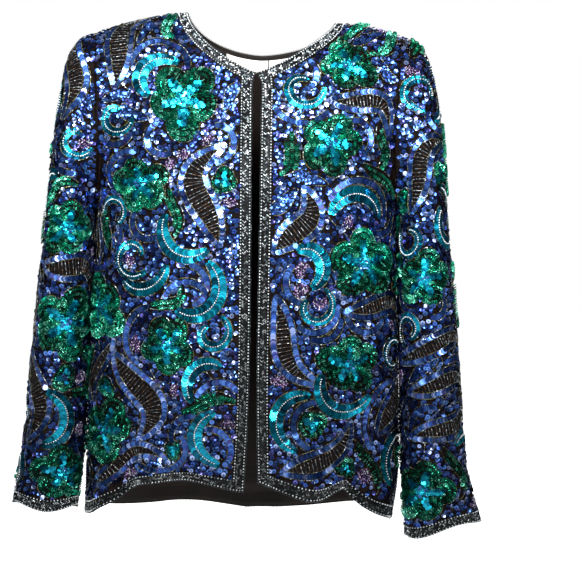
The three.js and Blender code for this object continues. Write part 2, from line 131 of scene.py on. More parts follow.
# along, inner x and z, outer x and z, middle y, half depth, dish
sleeveRings = {
    "right": (
        (0, -199.3, -262, -200.3, -26, 0, 58.2, 5), (25, -203, -267, -220, -32, 0, 60, 4),
        (50, -204, -273, -237, -57, -1, 62, 3), (80, -204.5, -281, -247, -108, -2, 64, 1),
        (110, -205, -291, -255, -168, -3, 65, 0), (140, -205.5, -305, -262, -235, -3, 65, 0),
        (175, -206.5, -326, -269, -300, -3, 63, 0), (230, -208.8, -380, -279, -374, 2, 60, 0),
        (310, -212.8, -455, -288, -453, 6, 55, 0), (390, -215.5, -528, -293, -528, -4, 49, 0),
        (450, -218, -586, -298, -584, -20, 43, 0), (505, -223, -642, -302, -634, -38, 38, 0),
    ),
    "left": (
        (0, 191.3, -262, 197.3, -30, 0, 58.2, 5), (25, 196, -268, 214, -37, 0, 60, 4),
        (50, 197, -275, 232, -57, -1, 62, 2), (80, 196.5, -283, 243, -102, -2, 64, 1),
        (110, 196, -294, 251, -158, -3, 65, 0), (140, 195.8, -309, 255, -225, -4, 64, 0),
        (175, 195.8, -330, 260, -295, -5, 62, 0), (230, 196.3, -388, 267, -376, -6, 58, 0),
        (310, 198, -462, 273, -456, -8, 51, 0), (390, 199, -538, 278, -530, -10, 43, 0),
        (450, 199, -606, 284, -596, -13, 36, 0), (520, 204, -683, 300, -660, -18, 30, 0),
    ),
}

# The wrinkles that the cloth took: from and to on the flat pattern in mm, width and depth.
# The first two numbers are away from the middle and up, on a sleeve away from its outer line.
wrinkles = {
    "front_right": ((196, -268, 120, -330, 11, -3), (205, -300, 150, -372, 9, -2),
                    (30, -250, 60, -330, 14, 2), (150, -120, 172, -215, 12, -2.5)),
    "front_left": ((188, -270, 118, -345, 12, -3), (196, -312, 140, -380, 9, -2),
                   (44, -230, 70, -320, 13, 2), (150, -115, 166, -205, 11, -2.5),
                   (226, -262, 228, -600, 18, 1.2)),
    "back": ((-190, -270, -110, -330, 12, -3), (186, -275, 112, -345, 11, -3),
             (-60, -90, -95, -210, 14, -2), (70, -95, 98, -190, 13, -2), (-30, -380, 40, -388, 16, -2.5)),
    "sleeve_right": ((-90, 20, -20, -6, 9, -3.5), (-84, -38, -12, -52, 10, -3), (60, 10, 10, -26, 9, -3),
                     (-70, 100, -20, 60, 12, -2.5), (-60, -140, 10, -160, 11, -2.5),
                     (50, -96, 96, -120, 10, -2.5), (-50, -205, 6, -190, 9, -2)),
    "sleeve_left": ((-88, 26, -24, 2, 10, -3.5), (-80, -30, -16, -58, 9, -3), (64, 16, 12, -18, 9, -3),
                    (-72, 92, -26, 66, 11, -2.5), (-58, -132, 4, -166, 12, -2.5),
                    (46, -104, 92, -114, 10, -2.5), (-44, -222, 12, -206, 9, -2),
                    (128, 170, 106, -150, 24, 1.6), (-164, 170, -142, -150, 24, 1.6)),
}


def readTable(rows, at):
    # all later columns at places between the rows, on smooth curves through them
    rows = np.array(rows, float)
    at = np.atleast_1d(np.asarray(at, float))
    order = np.arange(len(rows))
    after = np.minimum(order + 1, order[-1])
    before = np.maximum(order - 1, 0)
    slope = (rows[after, 1:] - rows[before, 1:]) / (rows[after, :1] - rows[before, :1])
    high = np.clip(np.searchsorted(rows[:, 0], at), 1, order[-1])
    low = high - 1
    span = (rows[high, 0] - rows[low, 0])[:, None]
    share = (at - rows[low, 0])[:, None] / span
    square = share ** 2
    cube = share ** 3
    return (rows[low, 1:] * (2 * cube - 3 * square + 1) + rows[high, 1:] * (3 * square - 2 * cube)
            + slope[low] * span * (cube - 2 * square + share) + slope[high] * span * (cube - square))


def fadeOut(value, end):
    return np.maximum(0, 1 - value / end) ** 2


def mix(first, second, share):
    return first + (second - first) * share


def smoothRise(value, start, end):
    share = np.clip((value - start) / (end - start), 0, 1)
    return share * share * (3 - 2 * share)


def unit(vectors):
    return vectors / np.maximum(np.linalg.norm(vectors, axis=-1, keepdims=True), 1e-12)


def bezier(handles, share):
    first, second, third, fourth = handles
    t = np.asarray(share, float)[..., None]
    return (first * (1 - t) ** 3 + 3 * second * t * (1 - t) ** 2
            + 3 * third * t ** 2 * (1 - t) + fourth * t ** 3)


def lengthsAlong(line):
    return np.concatenate(([0], np.cumsum(np.linalg.norm(np.diff(line, axis=0), axis=1))))


def bezierByLength(handles, share):
    fine = np.linspace(0, 1, 201)
    run = lengthsAlong(bezier(handles, fine))
    return bezier(handles, np.interp(np.asarray(share) * run[-1], run, fine))


def armholePoint(side, facing, turn):
    hole = armhole[side]
    angle = math.pi * (1 - turn)
    high = (1 + math.cos(angle)) / 2
    out = math.sin(angle)
    x = mix(hole["lowX"], hole["topX"], high) - hole["dish"] * out * out * np.sign(hole["topX"])
    y = facing * (cut["seamGap"] / 2 + cut["armholeDepth"] * out)
    return np.array([x, y, mix(hole["lowZ"], hole["topZ"], high)])


def levelHandles(panel, side, facing, h):
    # a level line of a panel below the armholes, from its middle round to the side seam
    start = readTable(frontEdge[side] if panel == "front" else backLine, h)[0]
    seamX, seamZ = readTable(sideSeam[side], h)[0]
    spread = cut["ventSpread"] * fadeOut(h, cut["ventTop"])
    end = np.array([seamX, facing * (cut["seamGap"] / 2 + spread), seamZ])
    startHandle = mix(start, end, cut["frontRoundness"])
    startHandle[1] = start[1]
    endHandle = end.copy()
    endHandle[1] = mix(end[1], start[1], cut["sideRoundness"])
    endHandle[2] = mix(end[2], start[2], 1 - cut["frontRoundness"])
    return start, startHandle, endHandle, end


def topEdge(panel, side, facing, across):
    # the neckline, and then the shoulder seam out to its tip
    handles = [np.array(place, float) for place in neckline[panel][side]]
    handles[3][1] = facing * cut["seamGap"] / 2
    neck = bezierByLength(handles, np.clip(across / cut["neckShare"], 0, 1))
    along = np.clip((across - cut["neckShare"]) / (1 - cut["neckShare"]), 0, 1)[:, None]
    shoulder = mix(handles[3], armholePoint(side, facing, 1), along)
    shoulder = shoulder + up * cut["shoulderArch"] * np.sin(math.pi * along)
    return np.where(across[:, None] <= cut["neckShare"], neck, shoulder)


def panelPoints(panel, side, across, heights, hanging):
    # points of a panel's outer face, with its hem and its folds if it is hanging
    facing = -1 if panel == "front" else 1
    across = np.append(across, 1)  # the side edge is needed for the armhole
    underarm = bezierByLength(levelHandles(panel, side, facing, 1), across)
    top = topEdge(panel, side, facing, across)
    lowOut, lowRise, topOut, topSide, topRise = readTable(upperForm, across).T
    tall = top[:, 2] - underarm[:, 2]
    zero = np.zeros_like(across)
    lowHandle = underarm + np.stack((zero, facing * lowOut, tall * lowRise), 1)
    sideways = np.sign(armhole[side]["topX"])
    topHandle = top + np.stack((sideways * topSide, facing * topOut, -tall * topRise), 1)
    rows = []
    for h in heights:
        if h <= 1:
            points = bezierByLength(levelHandles(panel, side, facing, h), across)
            if hanging:
                points[:, 2] -= readTable(hemDrop[panel][side], across)[:, 0] * fadeOut(h, cut["hemReach"])
                outwards = unit(points * (1, 1, 0))
                for at, width, depth, end in folds[panel][side]:
                    strength = depth * np.exp(-((across - at) / width) ** 2) * fadeOut(h, end)
                    points = points + outwards * strength[:, None]
        else:
            points = bezier((underarm, lowHandle, topHandle, top), np.full(len(across), h - 1.0))
            pull = armholePoint(side, facing, h - 1) - points[-1]
            points = points + smoothRise(across, cut["armholeBlend"], 1)[:, None] * pull
            if panel == "front" and h > cut["cornerFrom"]:
                near = (h - cut["cornerFrom"]) / (2 - cut["cornerFrom"])
                points[:, 0] += cut["cornerPull"][side] * near ** 2 * fadeOut(across, cut["cornerReach"])
        rows.append(points[:-1])
    return np.array(rows)


def backPoints(across, heights, hanging):
    right = panelPoints("back", "right", -across[across < 0], heights, hanging)
    left = panelPoints("back", "left", across[across >= 0], heights, hanging)
    return np.concatenate((right, left), axis=1)


def sleevePoints(side, around, along):
    rows = []
    for inX, inZ, outX, outZ, midY, halfY, dish in readTable(sleeveRings[side], along):
        outwards = (1 + np.cos(around)) / 2
        across = np.sin(around)
        rows.append(np.stack((mix(inX, outX, outwards) - dish * across ** 2 * np.sign(outX),
                              midY + halfY * across, mix(inZ, outZ, outwards)), 1))
    return np.array(rows)


# Each cut piece is also laid flat, so that the embroidery can be drawn on its pattern.

neighbours = ((0, 1), (1, 0), (1, 1), (1, -1))
relaxing = {"rounds": 700, "haste": 1.4}


def pairSlices(grid, step):
    down, over = step
    rows, lines = grid.shape[:2]
    first = (slice(0, rows - down), slice(max(0, -over), lines - max(0, over)))
    second = (slice(down, rows), slice(max(0, over), lines + min(0, over)))
    return first, second


def layFlat(points, flat):
    # relaxes a first guess until its edges have their real lengths, then turns it back as it was
    guess = flat.copy()
    pairs = []
    for step in neighbours:
        first, second = pairSlices(points, step)
        wanted = np.linalg.norm(points[second] - points[first], axis=-1, keepdims=True)
        pairs.append((first, second, wanted))
    for _ in range(relaxing["rounds"]):
        shift = np.zeros_like(flat)
        shares = np.zeros(flat.shape[:2] + (1,))
        for first, second, wanted in pairs:
            gap = flat[second] - flat[first]
            length = np.maximum(np.linalg.norm(gap, axis=-1, keepdims=True), 1e-6)
            move = gap * (length - wanted) / length / 2
            shift[first] += move
            shift[second] -= move
            shares[first] += 1
            shares[second] += 1
        flat = flat + relaxing["haste"] * shift / shares
    flatMiddle = flat.mean((0, 1))
    guessMiddle = guess.mean((0, 1))
    a = (flat - flatMiddle).reshape(-1, 2)
    b = (guess - guessMiddle).reshape(-1, 2)
    turn = math.atan2((a[:, 0] * b[:, 1] - a[:, 1] * b[:, 0]).sum(), (a * b).sum())
    turned = np.array([[math.cos(turn), math.sin(turn)], [-math.sin(turn), math.cos(turn)]])
    return (a @ turned).reshape(flat.shape) + guessMiddle


def refine(coarse, coarseRows, coarseLines, rows, lines):
    # a coarse grid's values at the places of a finer one
    wide = np.stack([[np.interp(lines, coarseLines, row[:, k]) for row in coarse] for k in (0, 1)], -1)
    return np.stack([[np.interp(rows, coarseRows, wide[:, line, k]) for line in range(len(lines))]
                     for k in (0, 1)], -1).transpose(1, 0, 2)


def gridTriangles(rows, lines):
    number = np.arange(rows * lines).reshape(rows, lines)
    a, b, c, d = number[:-1, :-1], number[:-1, 1:], number[1:, 1:], number[1:, :-1]
    return np.concatenate((np.stack((a, b, c), -1).reshape(-1, 3), np.stack((a, c, d), -1).reshape(-1, 3)))


def carriedOn(grid):
    # the grid with one more line all round, straight on past its edges
    grid = np.concatenate((2 * grid[:1] - grid[1:2], grid, 2 * grid[-1:] - grid[-2:-1]), 0)
    return np.concatenate((2 * grid[:, :1] - grid[:, 1:2], grid, 2 * grid[:, -1:] - grid[:, -2:-1]), 1)


def rimOf(grid):
    # the outermost points of a grid, in order round it
    return np.concatenate((grid[0], grid[1:, -1], grid[-1, -2::-1], grid[-2:0:-1, 0]))


def outwardFrom(place, reference):
    out = unit(np.cross(np.gradient(place, axis=1), np.gradient(place, axis=0)))
    return out if (out * reference).sum() > 0 else -out


class Cloth:
    # place is the grid of points in space in mm, flat the same grid on the pattern in mm

    def __init__(self, name, place, flat, reference, closed=False):
        self.name = name
        self.flat = flat
        self.closed = closed
        self.out = outwardFrom(place, reference)
        self.place = place + self.out * self.wrinkleDepth()[..., None]
        self.out = outwardFrom(self.place, reference)
        flatWide = carriedOn(flat)
        self.corners = gridTriangles(*flatWide.shape[:2])
        self.flatPoints = flatWide.reshape(-1, 2)
        self.placePoints = carriedOn(self.place).reshape(-1, 3)
        self.outPoints = unit(carriedOn(self.out)).reshape(-1, 3)
        level = [(x, y, 0) for x, y in self.flatPoints.tolist()]
        self.finder = BVHTree.FromPolygons(level, self.corners.tolist(), all_triangles=True)
        self.outline = rimOf(flat)

    def wrinkleDepth(self):
        side = -1 if self.name == "front_right" else 1
        total = np.zeros(self.flat.shape[:2])
        for fromX, fromY, toX, toY, width, depth in wrinkles[self.name]:
            start = np.array([fromX * side, fromY])
            run = np.array([toX * side, toY]) - start
            share = np.clip(((self.flat - start) @ run) / (run @ run), 0, 1)
            away = np.linalg.norm(self.flat - start - share[..., None] * run, axis=-1)
            total += depth * np.sin(math.pi * mix(0.12, 0.88, share)) * np.exp(-(away / width) ** 2)
        return total

    def sit(self, spots, heading):
        # where spots of the pattern lie in space in metres, the way out, and the heading's way there
        down = Vector((0, 0, -1))
        found = np.full(len(spots), -1)
        for number, (x, y) in enumerate(spots.tolist()):
            triangle = self.finder.ray_cast(Vector((x, y, 1)), down)[2]
            if triangle is not None:
                found[number] = triangle
        hit = found >= 0
        corners = self.corners[found[hit]]
        a, b, c = (self.flatPoints[corners[:, k]] for k in range(3))
        first = b - a
        second = c - a
        size = first[:, 0] * second[:, 1] - first[:, 1] * second[:, 0]

        def shares(vector):
            s = (vector[:, 0] * second[:, 1] - vector[:, 1] * second[:, 0]) / size
            t = (first[:, 0] * vector[:, 1] - first[:, 1] * vector[:, 0]) / size
            return s[:, None], t[:, None]

        p, q, r = (self.placePoints[corners[:, k]] for k in range(3))
        s, t = shares(spots[hit] - a)
        place = p + s * (q - p) + t * (r - p)
        n0, n1, n2 = (self.outPoints[corners[:, k]] for k in range(3))
        out = unit(n0 + s * (n1 - n0) + t * (n2 - n0))
        s, t = shares(heading[hit])
        run = s * (q - p) + t * (r - p)
        run = unit(run - out * (run * out).sum(1, keepdims=True))
        return hit, place * metre, out, run


# how finely a panel is divided across and upwards, and more coarsely to lay it flat
frontLines = np.linspace(0, 1, 46)
backLines = np.linspace(-1, 1, 89)
panelRows = np.concatenate((np.linspace(0, 1, 62), np.linspace(1, 2, 50)[1:]))
coarseRows = np.concatenate((np.linspace(0, 1, 16), np.linspace(1, 2, 13)[1:]))

# where a panel turns to the side and over the shoulder
turning = {"depth": 98, "sideFrom": 110, "sideTo": 199, "topFrom": -150, "topTo": 0, "middle": 20}


def firstGuess(points, sign):
    # the front or back view, opened out where the cloth turns away
    x, y, z = points[..., 0], points[..., 1], points[..., 2]
    turned = np.maximum(0, turning["depth"] - np.abs(y)) / 2
    sideways = np.abs(x) + turned * smoothRise(np.abs(x), turning["sideFrom"], turning["sideTo"])
    side = np.sign(x) if sign == 0 else sign
    sideways = np.where(np.abs(x) < turning["middle"], side * x, sideways)
    upwards = z + turned * smoothRise(z, turning["topFrom"], turning["topTo"])
    return np.stack((side * sideways, upwards), -1)


def panelCloth(name, pointsOf, sign, coarseLines, lines):
    coarse = pointsOf(coarseLines, coarseRows, False)
    flat = layFlat(coarse, firstGuess(coarse, sign))
    place = pointsOf(lines, panelRows, True)
    return Cloth(name, place, refine(flat, coarseRows, coarseLines, panelRows, lines), place * (1, 1, 0))


def frontCloth(side):
    def pointsOf(across, heights, hanging):
        return panelPoints("front", side, across, heights, hanging)

    sign = -1 if side == "right" else 1
    return panelCloth(f"front_{side}", pointsOf, sign, np.linspace(0, 1, 15), frontLines)


def backCloth():
    return panelCloth("back", backPoints, 0, np.linspace(-1, 1, 29), backLines)


sleevePlan = {"elbow": 230, "capEnd": 140, "capShare": 0.7, "lines": 57, "rows": 84}
cuffWave = {"length": 60, "height": 3.2, "count": 3, "phase": {"right": 0.6, "left": 2.2}}


def sleeveCloth(side):
    end = sleeveRings[side][-1][0]
    elbow = sleevePlan["elbow"]
    upperAlong = np.linspace(0, elbow, 12)
    coarseAlong = np.concatenate((upperAlong, np.linspace(elbow, end, 11)[1:]))
    coarseAround = np.linspace(-math.pi, math.pi, 21)
    points = sleevePoints(side, coarseAround, coarseAlong)
    around = np.array([lengthsAlong(row) for row in points])
    outerLine = len(coarseAround) // 2
    around -= around[:, outerLine:outerLine + 1]
    around *= mix(sleevePlan["capShare"], 1, smoothRise(coarseAlong, 0, sleevePlan["capEnd"]))[:, None]
    down = np.array([lengthsAlong(points[:, line]) for line in range(len(coarseAround))]).T
    atElbow = down[len(upperAlong) - 1]
    flat = layFlat(points, np.stack((around, atElbow - down), -1))
    lines = np.linspace(-math.pi, math.pi, sleevePlan["lines"])
    rows = np.linspace(0, end, sleevePlan["rows"])
    flat = refine(flat, coarseAlong, coarseAround, rows, lines)
    place = sleevePoints(side, lines, rows)
    wave = np.clip((rows - end + cuffWave["length"]) / cuffWave["length"], 0, 1)[:, None] ** 2
    place[..., 2] -= cuffWave["height"] * wave * np.sin(cuffWave["count"] * lines + cuffWave["phase"][side])
    reference = place - place[:, :-1].mean(1, keepdims=True)
    return Cloth(f"sleeve_{side}", place, flat, reference, True)


cloths = {cloth.name: cloth for cloth in (frontCloth("right"), frontCloth("left"), backCloth(),
                                          sleeveCloth("right"), sleeveCloth("left"))}
print("cut pieces laid flat")


# Materials

def shade(hexColour):
    # a screen colour as the linear one that Blender works in
    channels = [int(hexColour[k:k + 2], 16) / 255 for k in (1, 3, 5)]
    return tuple(c / 12.92 if c <= 0.04045 else ((c + 0.055) / 1.055) ** 2.4 for c in channels) + (1.0,)


def node(tree, kind, inputs=None, **settings):
    made = tree.nodes.new(kind)
    for name, value in settings.items():
        setattr(made, name, value)
    for name, value in (inputs or {}).items():
        if isinstance(value, bpy.types.NodeSocket):
            tree.links.new(value, made.inputs[name])
        else:
            made.inputs[name].default_value = value
    return made


def graded(tree, share, first, second):
    # one colour that runs into another
    inputs = {"Factor": share, 6: first, 7: second}
    return node(tree, "ShaderNodeMix", inputs, data_type="RGBA").outputs[2]


def product(tree, first, second):
    return node(tree, "ShaderNodeMath", {0: first, 1: second}, operation="MULTIPLY").outputs[0]


def newGroup(name, inputs, outputs):
    tree = bpy.data.node_groups.new(name, "ShaderNodeTree")
    kinds = {float: "NodeSocketFloat", tuple: "NodeSocketColor"}
    for label, value in inputs.items():
        socket = tree.interface.new_socket(name=label, in_out="INPUT", socket_type=kinds[type(value)])
        socket.default_value = value
    for label, kind in outputs.items():
        tree.interface.new_socket(name=label, in_out="OUTPUT", socket_type=f"NodeSocket{kind}")
    return tree, tree.nodes.new("NodeGroupInput"), tree.nodes.new("NodeGroupOutput")


def seedBeadGroup():
    # small glass beads sewn close together: a colour for each bead and how high it stands
    inputs = {"Bead Size": 500.0, "Dark": shade("#05040c"), "Light": shade("#2a2c6e"), "Bright": 0.25}
    tree, given, result = newGroup("seedBeads", inputs, {"Colour": "Color", "Height": "Float"})
    coordinates = node(tree, "ShaderNodeTexCoord").outputs["Object"]
    beads = node(tree, "ShaderNodeTexVoronoi", {"Vector": coordinates, "Scale": given.outputs["Bead Size"]})
    pick = node(tree, "ShaderNodeSeparateColor", {"Color": beads.outputs["Color"]})
    patch = node(tree, "ShaderNodeTexNoise", {"Vector": coordinates, "Scale": 60.0})
    chance = product(tree, pick.outputs[0], patch.outputs[0])
    bright = product(tree, product(tree, chance, given.outputs["Bright"]), 3.0)
    colour = graded(tree, bright, given.outputs["Dark"], given.outputs["Light"])
    rounded = node(tree, "ShaderNodeMapRange", {"Value": beads.outputs["Distance"], "From Max": 0.6,
                                                "To Min": 1.0, "To Max": 0.0})
    tree.links.new(colour, result.inputs["Colour"])
    tree.links.new(rounded.outputs[0], result.inputs["Height"])
    return tree


seedBeads = seedBeadGroup()


def newMaterial(name, **settings):
    material = bpy.data.materials.new(name)
    material.use_nodes = True
    shader = material.node_tree.nodes["Principled BSDF"]
    for label, value in settings.items():
        shader.inputs[label.replace("_", " ")].default_value = value
    return material, material.node_tree, shader


def finishCloth(tree, shader, colour, height, strength, depth):
    # gives a cloth its colour and the relief of its beads or threads
    bump = node(tree, "ShaderNodeBump", {"Height": height, "Strength": strength, "Distance": depth})
    tree.links.new(colour, shader.inputs["Base Color"])
    tree.links.new(bump.outputs[0], shader.inputs["Normal"])


def beadGround(name, size, dark, light, bright, depth):
    material, tree, shader = newMaterial(name, Roughness=0.5, Specular_IOR_Level=0.04)
    inputs = {"Bead Size": size, "Dark": shade(dark), "Light": shade(light), "Bright": bright}
    beads = node(tree, "ShaderNodeGroup", inputs, node_tree=seedBeads)
    finishCloth(tree, shader, beads.outputs["Colour"], beads.outputs["Height"], 0.9, depth)
    return material


def sequinTintGroup():
    # each sequin's own colour with a slight drift over the cloth, and another colour for its bead
    inputs = {"Drift": 0.16, "Bead Colour": shade("#04050e"), "Roughness": 0.2, "Bead Roughness": 0.15}
    tree, given, result = newGroup("sequinTint", inputs, {"Colour": "Color", "Roughness": "Float"})
    tint = node(tree, "ShaderNodeAttribute", attribute_name="tint")
    bead = node(tree, "ShaderNodeAttribute", attribute_name="bead")
    coordinates = node(tree, "ShaderNodeTexCoord").outputs["Object"]
    speck = node(tree, "ShaderNodeTexNoise", {"Vector": coordinates, "Scale": 420.0, "Detail": 2.0})
    evened = node(tree, "ShaderNodeMapRange", {"Value": speck.outputs[0], "From Min": 0.3, "From Max": 0.7,
                                               "To Min": -1.0, "To Max": 1.0})
    strength = node(tree, "ShaderNodeMath", {0: evened.outputs[0], 1: given.outputs["Drift"], 2: 1.0},
                    operation="MULTIPLY_ADD")
    varied = node(tree, "ShaderNodeVectorMath", {0: tint.outputs["Color"], 1: strength.outputs[0]},
                  operation="MULTIPLY")
    colour = graded(tree, bead.outputs["Fac"], varied.outputs[0], given.outputs["Bead Colour"])
    rough = node(tree, "ShaderNodeMapRange", {"Value": bead.outputs["Fac"],
                                              "To Min": given.outputs["Roughness"],
                                              "To Max": given.outputs["Bead Roughness"]})
    tree.links.new(colour, result.inputs["Colour"])
    tree.links.new(rough.outputs[0], result.inputs["Roughness"])
    return tree


sequinTint = sequinTintGroup()


def tintedMaterial(name, drift=0.16, beaded=False, **settings):
    material, tree, shader = newMaterial(name, **settings)
    inputs = {"Drift": drift, "Roughness": settings["Roughness"]}
    tint = node(tree, "ShaderNodeGroup", inputs, node_tree=sequinTint)
    tree.links.new(tint.outputs["Colour"], shader.inputs["Base Color"])
    if beaded:
        tree.links.new(tint.outputs["Roughness"], shader.inputs["Roughness"])
    return material


def satinLining():
    material, tree, shader = newMaterial("blackLining", Roughness=0.55, Specular_IOR_Level=0.12)
    coordinates = node(tree, "ShaderNodeTexCoord").outputs["Object"]
    threads = node(tree, "ShaderNodeTexNoise", {"Vector": coordinates, "Scale": 30.0, "Detail": 6.0})
    colour = graded(tree, threads.outputs[0], shade("#060403"), shade("#17100b"))
    weave = node(tree, "ShaderNodeTexWave", {"Vector": coordinates, "Scale": 900.0, "Distortion": 1.5})
    finishCloth(tree, shader, colour, weave.outputs["Fac"], 0.3, 0.0002)
    return material


def labelWeave():
    material, tree, shader = newMaterial("wovenLabel", Roughness=0.75)
    coordinates = node(tree, "ShaderNodeTexCoord").outputs["Object"]
    warp, weft = (node(tree, "ShaderNodeTexWave", {"Vector": coordinates, "Scale": 700.0},
                       bands_direction=direction).outputs["Fac"] for direction in ("X", "Z"))
    both = node(tree, "ShaderNodeMath", {0: warp, 1: weft}, operation="MAXIMUM").outputs[0]
    colour = graded(tree, both, shade("#d5cfc4"), shade("#f7f4ee"))
    finishCloth(tree, shader, colour, both, 0.5, 0.0002)
    return material


materials = {
    "ground": beadGround("darkBeadedCloth", 520.0, "#020102", "#1d1410", 0.35, 0.0009),
    "band": beadGround("darkBeadedBand", 620.0, "#010101", "#0e1113", 0.3, 0.0005),
    "cups": tintedMaterial("cupSequins", beaded=True, Roughness=0.19, Metallic=0.88),
    "curls": tintedMaterial("standingSequins", Roughness=0.26, Metallic=0.8),
    "discs": tintedMaterial("flatSequins", Roughness=0.2, Metallic=0.9),
    "beads": tintedMaterial("glassBeads", Roughness=0.18, Metallic=0.3),
    "cord": tintedMaterial("couchedCord", drift=0.3, Roughness=0.4, Metallic=0.6),
    "lining": satinLining(),
    "label": labelWeave(),
}
print("materials made")


# Geometry Nodes that sew one sequin or bead on every point of a mesh. A point's facing is the way
# that the sequin looks, along its lengthways direction and size its scale.

def sewingTree(name, sizes, makeShape):
    tree = bpy.data.node_groups.new(name, "GeometryNodeTree")
    tree.is_modifier = True
    tree.interface.new_socket(name="Points", in_out="INPUT", socket_type="NodeSocketGeometry")
    for label, value in sizes.items():
        kind = "NodeSocketInt" if isinstance(value, int) else "NodeSocketFloat"
        tree.interface.new_socket(name=label, in_out="INPUT", socket_type=kind).default_value = value
    tree.interface.new_socket(name="Material", in_out="INPUT", socket_type="NodeSocketMaterial")
    tree.interface.new_socket(name="Sewn", in_out="OUTPUT", socket_type="NodeSocketGeometry")
    given = tree.nodes.new("NodeGroupInput")
    result = tree.nodes.new("NodeGroupOutput")
    read = {label: node(tree, "GeometryNodeInputNamedAttribute", {"Name": label}, data_type=kind).outputs[0]
            for label, kind in (("facing", "FLOAT_VECTOR"), ("along", "FLOAT_VECTOR"), ("size", "FLOAT"))}
    faced = node(tree, "FunctionNodeAlignRotationToVector", {"Vector": read["facing"]}, axis="Z")
    turned = node(tree, "FunctionNodeAlignRotationToVector",
                  {"Rotation": faced.outputs[0], "Vector": read["along"]}, axis="X", pivot_axis="Z")
    placed = node(tree, "GeometryNodeInstanceOnPoints",
                  {"Points": given.outputs["Points"], "Instance": makeShape(tree, given.outputs),
                   "Rotation": turned.outputs[0], "Scale": read["size"]})
    real = node(tree, "GeometryNodeRealizeInstances", {"Geometry": placed.outputs[0]})
    finish = node(tree, "GeometryNodeSetMaterial",
                  {"Geometry": real.outputs[0], "Material": given.outputs["Material"]})
    tree.links.new(finish.outputs[0], result.inputs["Sewn"])
    return tree


def cone(tree, sides, lowRadius, topRadius, height):
    return node(tree, "GeometryNodeMeshCone", {"Vertices": sides, "Radius Bottom": lowRadius,
                                               "Radius Top": topRadius, "Depth": height},
                fill_type="NONE").outputs["Mesh"]


def shaded(tree, geometry, smooth):
    inputs = {"Geometry": geometry, "Shade Smooth": smooth}
    return node(tree, "GeometryNodeSetShadeSmooth", inputs).outputs[0]


def cupShape(tree, given):
    # a faceted cup that opens outwards, with a small bead in the middle
    cup = cone(tree, given["Facets"], 0.0, given["Radius"], given["Cup Depth"])
    turned = node(tree, "GeometryNodeFlipFaces", {"Mesh": cup}).outputs[0]
    bead = cone(tree, 4, given["Bead Radius"], 0.0, given["Bead Height"])
    marked = node(tree, "GeometryNodeStoreNamedAttribute", {"Geometry": shaded(tree, bead, True),
                                                            "Name": "bead", "Value": 1.0},
                  data_type="FLOAT").outputs[0]
    joined = tree.nodes.new("GeometryNodeJoinGeometry")
    for part in (marked, shaded(tree, turned, True)):
        tree.links.new(part, joined.inputs[0])
    return joined.outputs[0]


def curlShape(tree, given):
    # a cup with a large hole, which stands on edge as an open ring
    cup = cone(tree, given["Facets"], given["Hole"], given["Radius"], given["Cup Depth"])
    return shaded(tree, node(tree, "GeometryNodeFlipFaces", {"Mesh": cup}).outputs[0], True)


def discShape(tree, given):
    flat = node(tree, "GeometryNodeMeshCircle", {"Vertices": given["Facets"], "Radius": given["Radius"]},
                fill_type="NGON")
    return shaded(tree, flat.outputs[0], False)


def beadShape(tree, given):
    ball = node(tree, "GeometryNodeMeshUVSphere", {"Segments": given["Facets"], "Rings": given["Rings"],
                                                   "Radius": given["Radius"]})
    return shaded(tree, ball.outputs["Mesh"], True)


def bugleShape(tree, given):
    tube = node(tree, "GeometryNodeMeshCylinder",
                {"Vertices": given["Facets"], "Radius": given["Radius"], "Depth": given["Length"]},
                fill_type="NONE")
    laid = node(tree, "GeometryNodeTransform", {"Geometry": tube.outputs["Mesh"],
                                                "Rotation": (0.0, math.pi / 2, 0.0)})
    return shaded(tree, laid.outputs[0], True)


sewing = {
    "cups": {"shape": cupShape, "material": "cups",
             "sizes": {"Radius": 0.0032, "Cup Depth": 0.0005, "Bead Radius": 0.0013, "Bead Height": 0.0009,
                       "Facets": 8}},
    "curls": {"shape": curlShape, "material": "curls",
              "sizes": {"Radius": 0.0032, "Hole": 0.0015, "Cup Depth": 0.0009, "Facets": 7}},
    "discs": {"shape": discShape, "material": "discs", "sizes": {"Radius": 0.003, "Facets": 8}},
    "beads": {"shape": beadShape, "material": "beads", "sizes": {"Radius": 0.001, "Facets": 5, "Rings": 3}},
    "grains": {"shape": beadShape, "material": "beads",
               "sizes": {"Radius": 0.001, "Facets": 4, "Rings": 2}},
    "bugles": {"shape": bugleShape, "material": "beads",
               "sizes": {"Radius": 0.0006, "Length": 0.004, "Facets": 4}},
    "cord": {"shape": bugleShape, "material": "cord",
             "sizes": {"Radius": 0.0006, "Length": 0.0022, "Facets": 3}},
}
for sewingName, plan in sewing.items():
    plan["tree"] = sewingTree(f"{sewingName}Sewing", plan["sizes"], plan["shape"])


def plainMesh(name, vertices, faces=()):
    mesh = bpy.data.meshes.new(name)
    mesh.from_pydata([tuple(v) for v in vertices], [], [tuple(f) for f in faces])
    made = bpy.data.objects.new(name, mesh)
    bpy.context.scene.collection.objects.link(made)
    return made


